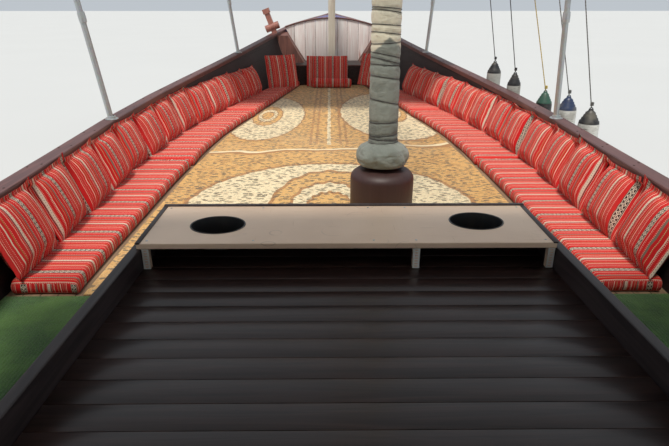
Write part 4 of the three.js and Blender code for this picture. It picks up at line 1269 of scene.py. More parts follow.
def inflate(data: Mesh, pressure: float, stiffness: float, frames: int = 20, mass: float = 0.59) -> Mesh:
    """Blows a closed mesh up with Blender's cloth and gives the result.

    Args:
        data: the closed mesh.
        pressure: the solver's pressure.
        stiffness: bending stiffness of the cover.
        frames: how many frames it runs.
        mass: mass of the cover's points.

    Returns:
        The blown mesh.
    """
    cover = bpy.data.objects.new("cover", data)
    bpy.context.scene.collection.objects.link(cover)
    cloth = cover.modifiers.new("cloth", "CLOTH")
    cloth.settings.use_pressure = True
    cloth.settings.uniform_pressure_force = pressure
    cloth.settings.mass = mass
    cloth.settings.bending_stiffness = stiffness
    cloth.settings.effector_weights.gravity = 0.0
    cloth.collision_settings.use_self_collision = False
    cloth.point_cache.frame_start = 1
    cloth.point_cache.frame_end = frames
    for number in range(1, frames + 1):
        bpy.context.scene.frame_set(number)
    shown = cover.evaluated_get(bpy.context.evaluated_depsgraph_get())
    blown = bpy.data.meshes.new_from_object(shown)
    bpy.data.objects.remove(cover)
    bpy.context.scene.frame_set(1)
    return blown


def capped(blown: Mesh, rest: Sequence[Vector], cap: float, draw: float = math.inf) -> None:
    """Keeps every point of a blown mesh near where it started.

    Args:
        blown: the blown mesh, changed in place.
        rest: where its points started.
        cap: how far each may be, in metres.
        draw: how far its own XY plane may be drawn in, in metres.
    """
    for v, start in zip(blown.vertices, rest):
        move = v.co - start
        slide = math.hypot(move.x, move.y)
        if 0 < slide and draw < math.inf:
            share = draw * math.tanh(slide / draw) / slide
            move = Vector((move.x * share, move.y * share, move.z))
            v.co = start + move
        if move.length > cap:
            v.co = start + move * (cap / move.length)


def soften(piece: Object) -> None:
    """Adds one subdivision to a soft piece.

    Args:
        piece: the soft piece.
    """
    for face in piece.data.polygons:
        face.use_smooth = True
    smooth = piece.modifiers.new("soft", "SUBSURF")
    smooth.levels = smooth.render_levels = 1


def uv_layer(data: Mesh) -> bpy.types.MeshUVLoopLayer:
    """Gives a mesh's UV map, made where it has none."""
    return data.uv_layers.get("UVMap") or data.uv_layers.new(name="UVMap")


def set_uv(data: Mesh, where: Callable[[Vector, Vector], tuple[float, float]]) -> None:
    """Writes a UV map in metres.

    Args:
        data: the mesh.
        where: gives U and V for a corner's place and its face's normal.
    """
    layer = uv_layer(data)
    for face in data.polygons:
        for index in face.loop_indices:
            spot = data.vertices[data.loops[index].vertex_index].co
            layer.data[index].uv = where(spot, face.normal)


class Shell:
    """Finds the inner faces of the bulwarks in the CAD solids."""

    def __init__(self) -> None:
        """Reads both bulwarks."""
        self.trees = {side: tree_of(f"bulwark_{side.word}") for side in Side}

    def inner(self, side: Side, y: float, z: float) -> float:
        """Gives the half-breadth to the inner face.

        Args:
            side: which bulwark.
            y: where along the boat.
            z: at what height.

        Returns:
            The distance from the centreline, in metres.
        """
        level = min(z, rail_z(y) - 0.1)
        return abs(struck(self.trees[side], (0, y, level), (side.value, 0, 0)).x)


def clamped(value: float) -> float:
    """Keeps a value between 0 and 1."""
    return max(0.0, min(1.0, value))


def rail_z(y: float) -> float:
    """Gives the top of the rail cap, as the solids' sheer has it.

    Args:
        y: where along the boat.

    Returns:
        The height, in metres.
    """
    bow = 0.55 * max(0.0, (y + 0.2) / 8.5) ** 1.7
    stern = 0.65 * max(0.0, (-y - 2.0) / 8.2) ** 1.8
    return 1.7 + bow + stern


@dataclass
class SideSeats:
    """Mattresses along both bulwarks, and the back cushions that lean on them."""

    shell: Shell
    weave: StripedWeave
    pitch: float = 0.585
    count: int = 13
    lean: float = 0.35
    foot: float = 0.14
    pillow: Pillow = field(default_factory=lambda: Pillow(0.605, 0.56))
    bow_pillow: Pillow = field(default_factory=lambda: Pillow(
        0.72, 0.66, pressure=9.0, stiffness=2.0, seed=14.2, cap=0.045, draw=0.012,
    ))
    bow_cushions: tuple[tuple[str, float, float, float, float, float], ...] = (
        ("port", -1.05, 6.08, 1.197, 0.66, 0.45), ("centre", -0.1, 6.849, 1.11, 0.9, 0.0),
        ("starboard", 0.93, 6.24, 1.197, 0.76, -0.7),
    )
    variants: list[Mesh] = field(default_factory=list)
    bow_shape: Mesh | None = None
    bow_lean: float = 0.3
    mattress_cell: float = 0.05
    mattress_columns: int = 16
    inset: float = 0.006
    clearance: float = 0.004
    overhang: float = 0.048

    def blow_variants(self) -> None:
        """Blows three different cushions, which all rows share."""
        for seed, pressure, stiffness in ((3.1, 20.0, 0.5), (6.2, 9.0, 0.4), (9.7, 32.0, 1.0)):
            pillow = replace(self.pillow, pressure=pressure, stiffness=stiffness, seed=seed)
            self.variants.append(pillow.blown())
        log.info("blew %d cushion shapes", len(self.variants))

    def covered(self, name: str, data: Mesh, node: str) -> None:
        """Makes a mesh a padded piece in the striped weave.

        Args:
            name: the piece's name.
            data: its mesh, in place.
            node: the CAD node that it stands for.
        """
        piece = new_piece(name, data, self.weave.material(), node)
        soften(piece)

    def back_cushion(self, side: Side, index: int, y: float, turn: float, chance: random.Random) -> None:
        """Places one back cushion on the seat, against the bulwark.

        Args:
            side: which row.
            index: its number in the row.
            y: where its middle is.
            turn: angle of the boat's side there.
            chance: source of its own small differences.
        """
        along = Vector((side.value * math.sin(turn), math.cos(turn), 0))
        out = Vector((side.value * math.cos(turn), -math.sin(turn), 0))
        lean = self.lean + chance.uniform(-0.03, 0.04)
        up = out * math.sin(lean) + Vector((0, 0, math.cos(lean)))
        face = -out * math.cos(lean) + Vector((0, 0, math.sin(lean)))
        foot_x = self.shell.inner(side, y, SEAT_TOP + 0.05) - self.foot
        origin = Vector((side.value * foot_x, y, SEAT_TOP + 0.012))
        half = self.pillow.height / 2
        data = self.variants[index % 3].copy()
        flip = chance.choice((-1, 1))
        flip_up = chance.choice((-1, 1))
        fat = chance.uniform(0.8, 0.95)
        roll = chance.uniform(-0.05, 0.05)
        slip = chance.uniform(-0.012, 0.02)
        local = []
        wall = {}
        ear = chance.uniform(0.03, 0.05)
        for v in data.vertices:
            u, q, w = flip * v.co.x, flip_up * v.co.y, v.co.z * fat
            local.append((u, q))
            fore, upper = 2 * u / self.pillow.width, max(0.0, q / half)
            w *= 1 - 0.25 * upper ** 2
            lift = ear * max(0.0, (fore - 0.45) / 0.55) ** 2 + 0.012 * max(0.0, -fore) ** 3
            q += upper ** 2 * (lift - 0.022)
            u, q = u * math.cos(roll) - q * math.sin(roll), u * math.sin(roll) + q * math.cos(roll)
            u = max(-self.pitch / 2 - 0.004, min(self.pitch / 2 + 0.004, u))
            spot = origin + along * u + up * (q + half - 0.03 + slip) + face * w
            spot.z = max(SEAT_TOP + 0.002, spot.z)
            key = (round(spot.y, 1), round(spot.z, 1))
            if key not in wall:
                wall[key] = min(
                    self.shell.inner(side, key[0] + dy, key[1] + dz)
                    for dy in (-0.06, 0.06) for dz in (-0.05, 0.05)
                )
            limit = wall[key] - (self.clearance if spot.z < rail_z(spot.y) - 0.065 else self.overhang)
            if abs(spot.x) > limit:
                spot.x = side.value * limit
            v.co = spot
        start = chance.uniform(0.0, 1.0)
        layer = uv_layer(data)
        for loop in data.loops:
            u, q = local[loop.vertex_index]
            layer.data[loop.index].uv = (u + start, q)
        if flip * flip_up < 0:
            data.flip_normals()
        self.covered(f"back_cushion_{side.word}_{index + 1:02d}", data, f"back_cushions_{side.word}")

    def row(self, side: Side) -> None:
        """Places a whole row of back cushions.

        Args:
            side: which row.
        """
        chance = random.Random(11 + side.value)
        y = SEAT_FROM + self.pitch / 2
        for index in range(self.count):
            ahead = self.shell.inner(side, y + 0.2, SEAT_TOP)
            behind = self.shell.inner(side, y - 0.2, SEAT_TOP)
            turn = math.atan((ahead - behind) / 0.4)
            self.back_cushion(side, index, y, turn, chance)
            y += self.pitch * math.cos(turn)
        log.info("placed the %s back cushions", side.word)

    def mattress(self, side: Side, number: int) -> None:
        """Makes one mattress from its CAD solid's outline.

        Args:
            side: which side.
            number: 1 to 3 from aft.
        """
        node = f"seat_mattress_{side.word}_{number}"
        low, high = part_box(node)
        tree = tree_of(node)
        chance = Vector((number * 3.7, side.value * 5.1, 0))
        bm = bmesh.new()
        along = round((high.y - low.y) / self.mattress_cell)
        bmesh.ops.create_grid(bm, x_segments=self.mattress_columns, y_segments=along, size=0.5)
        thick = high.z - low.z - 0.006
        inset = self.inset
        rows: dict[float, tuple[float, float]] = {}
        for v in bm.verts:
            share_y = min(0.9995, max(0.0005, v.co.y + 0.5))
            y = low.y + inset + share_y * (high.y - low.y - 2 * inset)
            key = round(y, 4)
            if key not in rows:
                level = (low.z + high.z) / 2
                near = struck(tree, (0, y, level), (side.value, 0, 0))
                far = struck(tree, (side.value * 4, y, level), (-side.value, 0, 0))
                rows[key] = (abs(near.x) + inset, abs(far.x) - inset)
            near_x, far_x = rows[key]
            v.co = Vector((side.value * (near_x + (v.co.x + 0.5) * (far_x - near_x)), y, low.z + 0.002))
        bmesh.ops.recalc_face_normals(bm, faces=bm.faces)
        grown = bmesh.ops.extrude_face_region(bm, geom=bm.faces[:])["geom"]
        top = [v for v in grown if isinstance(v, BMVert)]
        for v in top:
            v.co.z += thick
            v.co.z += 0.004 * noise.noise(v.co * 5 + chance)
        bmesh.ops.recalc_face_normals(bm, faces=bm.faces)
        data = mesh_of(bm, 180.0)
        rest = [v.co.copy() for v in data.vertices]
        data = inflate(data, 6.0, 2.0, frames=14)
        capped(data, rest, 0.016)
        for v in data.vertices:
            v.co.z = max(low.z + 0.002, min(high.z + 0.009, v.co.z))
        layer = uv_layer(data)
        for face in data.polygons:
            end_face = abs(face.normal.y) > 0.8
            for index in face.loop_indices:
                spot = rest[data.loops[index].vertex_index]
                drop = high.z - spot.z
                if end_face:
                    layer.data[index].uv = (abs(spot.x), drop)
                else:
                    layer.data[index].uv = (spot.y + 0.13 * number, abs(spot.x) - drop)
        self.covered(f"mattress_{side.word}_{number}", data, node)

    def bow_cushion(self, word: str, x: float, y: float, foot: float, width: float, turn: float) -> None:
        """Stands one cushion at the bow, leaning back.

        Args:
            word: its node's last word.
            x: middle of its back.
            y: place of its back.
            foot: height of its foot.
            width: its width.
            turn: how far it is turned about Z.
        """
        along = Vector((math.cos(turn), math.sin(turn), 0))
        back = Vector((-math.sin(turn), math.cos(turn), 0))
        up = back * math.sin(self.bow_lean) + Vector((0, 0, math.cos(self.bow_lean)))
        face = -back * math.cos(self.bow_lean) + Vector((0, 0, math.sin(self.bow_lean)))
        data = self.bow_shape.copy()
        layer = uv_layer(data)
        stretch = width / self.bow_pillow.width
        for loop in data.loops:
            spot = data.vertices[loop.vertex_index].co
            layer.data[loop.index].uv = (spot.x * stretch + x, spot.y)
        origin = Vector((x, y, foot)) - back * 0.2
        half = self.bow_pillow.height / 2
        for v in data.vertices:
            spot = origin + along * v.co.x * stretch + up * (v.co.y + half - 0.02) + face * v.co.z * 0.45
            spot.z = max(foot + 0.002, spot.z)
            if word == "centre":
                spot.y = min(spot.y, y - 0.003 if spot.z < 1.53 else y + 0.06)
            else:
                limit = self.shell.inner(Side.PORT if x < 0 else Side.STARBOARD, spot.y, spot.z) - 0.012
                spot.x = max(-limit, min(limit, spot.x))
            v.co = spot
        self.covered(f"bow_pillow_{word}", data, f"bow_cushion_{word}")
        log.info("stood the %s bow cushion", word)

    def bolster(self) -> None:
        """Rolls the bolster that lies before the middle cushion."""
        low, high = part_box("bolster")
        length, r = high.x - low.x, (high.z - low.z) / 2
        bm = bmesh.new()
        profile = [(0.0, 0.01), (0.02, 0.006), (r * 0.5, 0.0), (r * 0.85, 0.012), (r * 0.97, 0.04)]
        middle = length - 0.08
        profile += [(r * (0.99 + 0.01 * math.cos(9 * k)), 0.04 + middle * k / 24) for k in range(1, 24)]
        profile += [(r * 0.97, length - 0.04), (r * 0.85, length - 0.012), (r * 0.5, length)]
        profile += [(0.02, length - 0.006), (0.0, length - 0.01)]
        made = add_turned(bm, profile, 40)
        for v in made:
            angle = math.atan2(v.co.y, v.co.x)
            pull = 0.006 * abs(math.sin(6 * angle)) * (1 if min(v.co.z, length - v.co.z) < 0.03 else 0)
            v.co.z += pull if v.co.z < length / 2 else -pull
            v.co += 0.004 * noise.noise_vector(v.co * 6)
        bmesh.ops.rotate(bm, cent=(0, 0, 0), matrix=Matrix.Rotation(math.pi / 2, 3, "Y"), verts=made)
        bmesh.ops.translate(bm, vec=(low.x, (low.y + high.y) / 2, low.z + r), verts=made)
        for v in made:
            v.co.z = max(low.z + 0.003, v.co.z)
        data = mesh_of(bm, 180)
        set_uv(data, lambda spot, normal: (spot.x, math.atan2(spot.z - low.z - r, spot.y) * r))
        self.covered("bow_bolster", data, "bolster")
        log.info("rolled the bolster")

    def build(self) -> None:
        """Makes every seat."""
        self.blow_variants()
        self.bow_shape = self.bow_pillow.blown()
        for row in self.bow_cushions:
            self.bow_cushion(*row)
        self.bolster()
        for side in Side:
            self.row(side)
            for number in (1, 2, 3):
                self.mattress(side, number)
            log.info("laid the %s mattresses", side.word)


@dataclass
class Hull:
    """Planking, posts, bulwarks, rails and decks, carried over from the solids."""

    ease: float = 0.006
    plug_from: float = -9.6
    plug_to: float = 7.4
    plug_pitch: float = 0.55
    plug_aside: float = 0.035
    plug_radius: float = 0.009
    rail_half: float = 0.072

    def build(self) -> None:
        """Dresses the hull's solids and plugs the rail's fastenings."""
        dress(["hull_body"], HULL_TIMBER.material(), sharp=32)
        dress(["keel", "stem_post", "stern_post", "rudder"], POST_TIMBER.material(), self.ease)
        dress(["bulwark_port", "bulwark_starboard"], BULWARK_PAINT.material(), 0.003)
        dress(["rail_cap_port", "rail_cap_starboard"], RAIL_VARNISH.material(), 0.01)
        dress(["transom_board"], RAIL_VARNISH.material(), self.ease)
        dress(["main_deck", "poop_deck"], DECK_TIMBER.material(), 0.004)
        dress(["propeller"], BRONZE.material(), 0.002, 40)
        dress(["engine_block"], ENGINE_PAINT.material(), 0.01)
        self.plugs()

    def plugs(self) -> None:
        """Sets a round timber plug over each of the rail's fastenings."""
        bm = bmesh.new()
        r = self.plug_radius
        head = [(0, 0.0035), (0.006, 0.0035), (r, 0.001), (r, -0.004), (0, -0.004)]
        for side in Side:
            tree = tree_of(f"rail_cap_{side.word}")
            y = self.plug_from
            while y < self.plug_to:
                at = self.middle(tree, side, y)
                for dx in (-self.plug_aside, self.plug_aside):
                    made = add_turned(bm, head, 10)
                    bmesh.ops.translate(bm, vec=at + Vector((dx, dx, 0)), verts=made)
                y += self.plug_pitch
        new_piece("rail_plugs", mesh_of(bm), DRUM_PAINT.material())
        log.info("plugged the rails")

    def middle(self, tree: BVHTree, side: Side, y: float) -> Vector:
        """Gives the middle of a rail cap's top at a place along the boat.

        Args:
            tree: the rail cap's faces.
            side: which side.
            y: where along the boat.

        Returns:
            The place.
        """
        outer = struck(tree, (side.value * 3, y, rail_z(y) - 0.03), (-side.value, 0, 0))
        x = outer.x - side.value * self.rail_half
        return Vector((x, y, struck(tree, (x, y, 4), (0, 0, -1)).z))


@dataclass
class Bow:
    """White planked bulkhead, flare boards, bitts, post and forecastle deck."""

    face_y: float = 7.799
    back_y: float = 7.849
    foot_z: float = 1.52
    head_z: float = 2.3
    half: float = 1.05
    widths: tuple[float, ...] = (0.21, 0.24, 0.23, 0.26, 0.24, 0.22, 0.25, 0.24, 0.21)
    bead_z: float = 2.44
    bead_drop: float = 0.19
    ledge_y: float = 6.85
    nosing: tuple[float, float] = (1.506, 1.524)

    def planks(self) -> None:
        """Stands the bulkhead's white planks side by side, their feet cut to the bow's shape."""
        tree = tree_of("forecastle_bulkhead")
        bm = bmesh.new()
        middle = (self.face_y + self.back_y) / 2
        scale = 2 * self.half / sum(self.widths)
        x = -self.half
        chance = random.Random(5)
        for width in self.widths:
            low_x, high_x = x + 0.003, x + width * scale - 0.003
            x += width * scale
            corners = []
            for edge in (low_x, high_x):
                top = struck(tree, (edge, middle, 4), (0, 0, -1))
                foot = struck(tree, (edge, middle, 0), (0, 0, 1))
                corners.append((foot.z, top.z))
            proud = chance.uniform(0.0, 0.004)
            face = self.face_y + 0.004 - proud
            made = add_box(bm, (low_x, face, self.foot_z), (high_x, self.back_y, self.head_z), 0.004)
            for v in made:
                share = (v.co.x - low_x) / (high_x - low_x)
                foot = corners[0][0] + share * (corners[1][0] - corners[0][0])
                top = corners[0][1] + share * (corners[1][1] - corners[0][1])
                v.co.z = foot + (v.co.z - self.foot_z) / (self.head_z - self.foot_z) * (top - foot)
        data = mesh_of(bm, 30)
        new_piece("bulkhead_planks", data, WHITE_PLANKS.material(), "forecastle_bulkhead")

    def beads(self) -> None:
        """Runs a bead along the bulkhead's top and a nosing along the platform's edge."""
        bm = bmesh.new()
        path = []
        for step in range(25):
            x = self.half * (step / 12 - 1)
            path.append(Vector((x, self.face_y - 0.004, self.bead_z - self.bead_drop * (x / self.half) ** 2)))
        add_sweep(bm, path, 0.017, 8)
        new_piece("bulkhead_bead", mesh_of(bm), RAIL_VARNISH.material())
        bm = bmesh.new()
        low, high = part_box("bow_platform")
        under, over = self.nosing
        near, far = self.ledge_y - 0.006, self.ledge_y + 0.03
        add_box(bm, (low.x + 0.02, near, under), (high.x - 0.02, far, over), 0.003)
        new_piece("platform_nosing", mesh_of(bm), RAIL_VARNISH.material())

    def build(self) -> None:
        """Builds the bow's pieces and dresses its solids."""
        self.planks()
        self.beads()
        dress(["bow_platform"], COAMING_GLOSS.material(), 0.005)
        dress(["flare_board_port", "flare_board_starboard"], FLARE_PAINT.material(), 0.004)
        dress(["forecastle_deck"], FORECASTLE_PAINT_AND_SKY.material(), 0.004)
        dress(["bow_post"], BOW_POST_PAINT.material(), 0.008)
        dress(["bitt_port", "bitt_starboard"], BITT_PAINT.material(), 0.006)
        log.info("built the bow")


@dataclass
class HatchTable:
    """Hatch with its glossy boards, and the serving board on legs at its fore end."""

    boards: int = 15
    gap: float = 0.002
    holes: tuple[tuple[float, float], ...] = ((-0.626, -2.607), (0.713, -2.565))
    hole_half: tuple[float, float] = (0.136, 0.114)
    board_low: Point = (-0.974, -2.84, 1.72)
    board_high: Point = (1.036, -2.316, 1.748)
    legs: tuple[float, ...] = (-0.935, 0.365, 1.015)
    spine_x: float = 0.04
    screw_x: tuple[float, ...] = (-0.93, -0.42, 0.16, 0.365, 0.99)
    bracket_x: tuple[float, ...] = (-0.0165, -0.0075, 0.0075, 0.0165)
    bracket_y: float = -2.8353
    bracket_z: tuple[float, float] = (1.612, 1.718)
    bracket_slots: int = 7

    def planks(self) -> None:
        """Lays the hatch boards athwart between the coamings."""
        low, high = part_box("hatch_planks")
        tree = tree_of("hatch_planks")
        bm = bmesh.new()
        pitch = (high.y - low.y) / self.boards
        chance = random.Random(4)
        for i in range(self.boards):
            near, far = low.y + i * pitch + self.gap / 2, low.y + (i + 1) * pitch - self.gap / 2
            sunk = chance.uniform(0, 0.0008)
            made = add_box(bm, (-1, near, low.z), (1, far, high.z - sunk), 0.0012)
            for v in made:
                y = min(far - 1e-3, max(near + 1e-3, v.co.y))
                way = math.copysign(1, v.co.x)
                reach = struck(tree, (self.spine_x, y, (low.z + high.z) / 2), (way, 0, 0))
                v.co.x = reach.x * abs(v.co.x) + self.spine_x * (1 - abs(v.co.x))
        new_piece("hatch_boards", mesh_of(bm, 30), BLACK_GLOSS.material(), "hatch_planks")

    def screws(self) -> None:
        """Adds the serving board's screws, each with a slot turned its own way."""
        bm = bmesh.new()
        chance = random.Random(8)
        profile = [(0, 0.0022), (0.0045, 0.0018), (0.0065, 0.0004), (0.0065, -0.002), (0, -0.002)]
        for y in (self.board_low[1] + 0.035, self.board_high[1] - 0.045):
            for x in self.screw_x:
                head = add_turned(bm, profile, 12)
                slot = add_box(bm, (-0.005, -0.0008, 0.0016), (0.005, 0.0008, 0.0026), 0)
                turn = Matrix.Rotation(chance.uniform(0, math.pi), 3, "Z")
                bmesh.ops.rotate(bm, cent=(0, 0, 0), matrix=turn, verts=head + slot)
                bmesh.ops.translate(bm, vec=(x, y, self.board_high[2]), verts=head + slot)
        new_piece("serving_screws", mesh_of(bm), STEEL.material())

    def trim(self) -> None:
        """Adds the board's dark trim."""
        x0, y0, _ = self.board_low
        x1, y1, top = self.board_high
        bm = bmesh.new()
        add_box(bm, (x0 - 0.004, y1 - 0.022, top - 0.006), (x1 + 0.004, y1 + 0.004, top + 0.008), 0.003)
        for x, way in ((x0, 1), (x1, -1)):
            inner, outer = sorted((x - way * 0.004, x + way * 0.02))
            add_box(bm, (inner, y0, top - 0.006), (outer, y1 - 0.022, top + 0.004), 0.002)
        new_piece("serving_trim", mesh_of(bm), COAMING_GLOSS.material())

    def liners(self) -> None:
        """Sets a black cup in each of the board's holes."""
        bm = bmesh.new()
        rx, ry = self.hole_half
        wall = [
            (rx - 0.03, -0.1), (rx - 0.012, -0.09), (rx - 0.003, -0.01), (rx - 0.001, 0.0015),
            (rx + 0.005, 0.003), (rx + 0.006, 0.0),
        ]
        for x, y in self.holes:
            made = add_turned(bm, wall, 48) + add_turned(bm, [(0.0, -0.104), (rx - 0.03, -0.1)], 48)
            bmesh.ops.scale(bm, vec=(1, ry / rx, 1), verts=made)
            bmesh.ops.translate(bm, vec=(x, y, self.board_high[2]), verts=made)
        bmesh.ops.remove_doubles(bm, verts=bm.verts, dist=1e-5)
        bmesh.ops.solidify(bm, geom=bm.faces[:], thickness=0.0015)
        new_piece("cup_liners", mesh_of(bm), LINER_BLACK.material())

    def brackets(self) -> None:
        """Screws a perforated white strip to each leg."""
        bm = bmesh.new()
        foot, head = self.bracket_z
        for x in self.legs:
            before = set(bm.verts)
            bmesh.ops.create_grid(bm, x_segments=3, y_segments=2 * self.bracket_slots + 1, size=0.5)
            sheet = [v for v in bm.verts if v not in before]
            for v in sheet:
                column = self.bracket_x[round((v.co.x + 0.5) * 3)]
                v.co = Vector((x + column, self.bracket_y, foot + (v.co.y + 0.5) * (head - foot)))
            faces = sorted({f for v in sheet for f in v.link_faces}, key=lambda f: f.calc_center_median().z)
            slots = [
                f for i, f in enumerate(faces) if (i // 3) % 2 and abs(f.calc_center_median().x - x) < 0.004
            ]
            bmesh.ops.delete(bm, geom=slots, context="FACES")
        bmesh.ops.solidify(bm, geom=bm.faces[:], thickness=0.002)
        new_piece("leg_brackets", mesh_of(bm, 20), BRACKET_WHITE.material())

    def build(self) -> None:
        """Builds the table's pieces and dresses its solids."""
        self.planks()
        self.trim()
        self.screws()
        self.liners()
        self.brackets()
        dress(["hatch_coaming"], COAMING_GLOSS.material(), 0.006)
        dress(["serving_board"], SERVING_TOP.material(), 0.004)
        log.info("built the hatch table")


@dataclass
class DeckCovers:
    """Rugs and artificial turf laid on the deck."""

    rug_thick: float = 0.007
    turf_thick: float = 0.012
    mast_xy: tuple[float, float] = (0.382, -0.86)
    hole: float = 0.274
    cell: float = 0.035

    def laid(self, name: str, node: str, low: tuple[float, float], high: tuple[float, float], thick: float,
             waves: float = 0.002) -> None:
        """Lays one sheet over the part of a CAD sheet that lies in a box.

        Args:
            name: the sheet's name.
            node: the CAD sheet that it follows.
            low: least X and Y.
            high: greatest X and Y.
            thick: its thickness.
            waves: how high its soft waves are.
        """
        tree = tree_of(node)
        box_low, box_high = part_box(node)
        y0, y1 = max(low[1], box_low.y + 0.002), min(high[1], box_high.y - 0.002)
        rows = max(2, round((y1 - y0) / self.cell))
        columns = max(2, round((min(high[0], box_high.x) - max(low[0], box_low.x)) / self.cell))
        level = box_low.z + 0.004
        bm = bmesh.new()
        bmesh.ops.create_grid(bm, x_segments=columns, y_segments=rows, size=0.5)
        edges = {}
        for v in bm.verts:
            row = round((v.co.y + 0.5) * rows)
            if row not in edges:
                y = y0 + (y1 - y0) * min(rows - 0.02, max(0.02, row)) / rows
                left = struck(tree, (-4, y, level), (1, 0, 0)).x
                right = struck(tree, (4, y, level), (-1, 0, 0)).x
                edges[row] = (max(low[0], left + 0.002), min(high[0], right - 0.002), y)
            left, right, y = edges[row]
            v.co = Vector((left + (v.co.x + 0.5) * (right - left), y, 0))
        self.clear_mast(bm)
        wave = [noise.noise(Vector((v.co.x * 2.1, v.co.y * 2.6, 7.7))) for v in bm.verts]
        for v, height in zip(bm.verts, wave):
            v.co.z = box_low.z + 0.0015 + waves * (0.5 + 0.5 * height)
        area = sum(face.calc_area() for face in bm.faces)
        grown = bmesh.ops.extrude_face_region(bm, geom=bm.faces[:])["geom"]
        bmesh.ops.translate(bm, vec=(0, 0, thick), verts=[v for v in grown if isinstance(v, BMVert)])
        finish, slot = (Turf(), "turf") if node == "deck_turf" else (PileRug(), "rug")
        piece = new_piece(name, mesh_of(bm, 60), finish.material(), node)
        log.info("laid %s", name)

    def clear_mast(self, bm: BMesh) -> None:
        """Cuts the round opening for the mast's drum.

        Args:
            bm: the flat sheet.
        """
        centre = Vector((*self.mast_xy, 0))
        inside = [f for f in bm.faces if all((v.co - centre).length < self.hole for v in f.verts)]
        if not inside:
            return
        bmesh.ops.delete(bm, geom=inside, context="FACES")
        for v in bm.verts:
            away = v.co - centre
            if away.length < self.hole:
                v.co = centre + away.normalized() * self.hole

    def build(self) -> None:
        """Lays every rug and the turf."""
        self.laid("rug_great", "deck_rug", (-3, -2.2), (3, 1.8), self.rug_thick)
        self.laid("rug_runner_port", "deck_rug", (-3, 1.81), (-0.0615, 6.9), self.rug_thick)
        self.laid("rug_runner_starboard", "deck_rug", (-0.0585, 1.81), (3, 6.9), self.rug_thick)
        self.laid("turf_port", "deck_turf", (-3, -4.2), (-1.05, -2.2), self.turf_thick, waves=0.001)
        self.laid("turf_starboard", "deck_turf", (1.13, -4.2), (3, -2.2), self.turf_thick, waves=0.001)
        self.laid("turf_aft", "deck_turf", (-3, -6.6), (3, -4.21), self.turf_thick, waves=0.001)


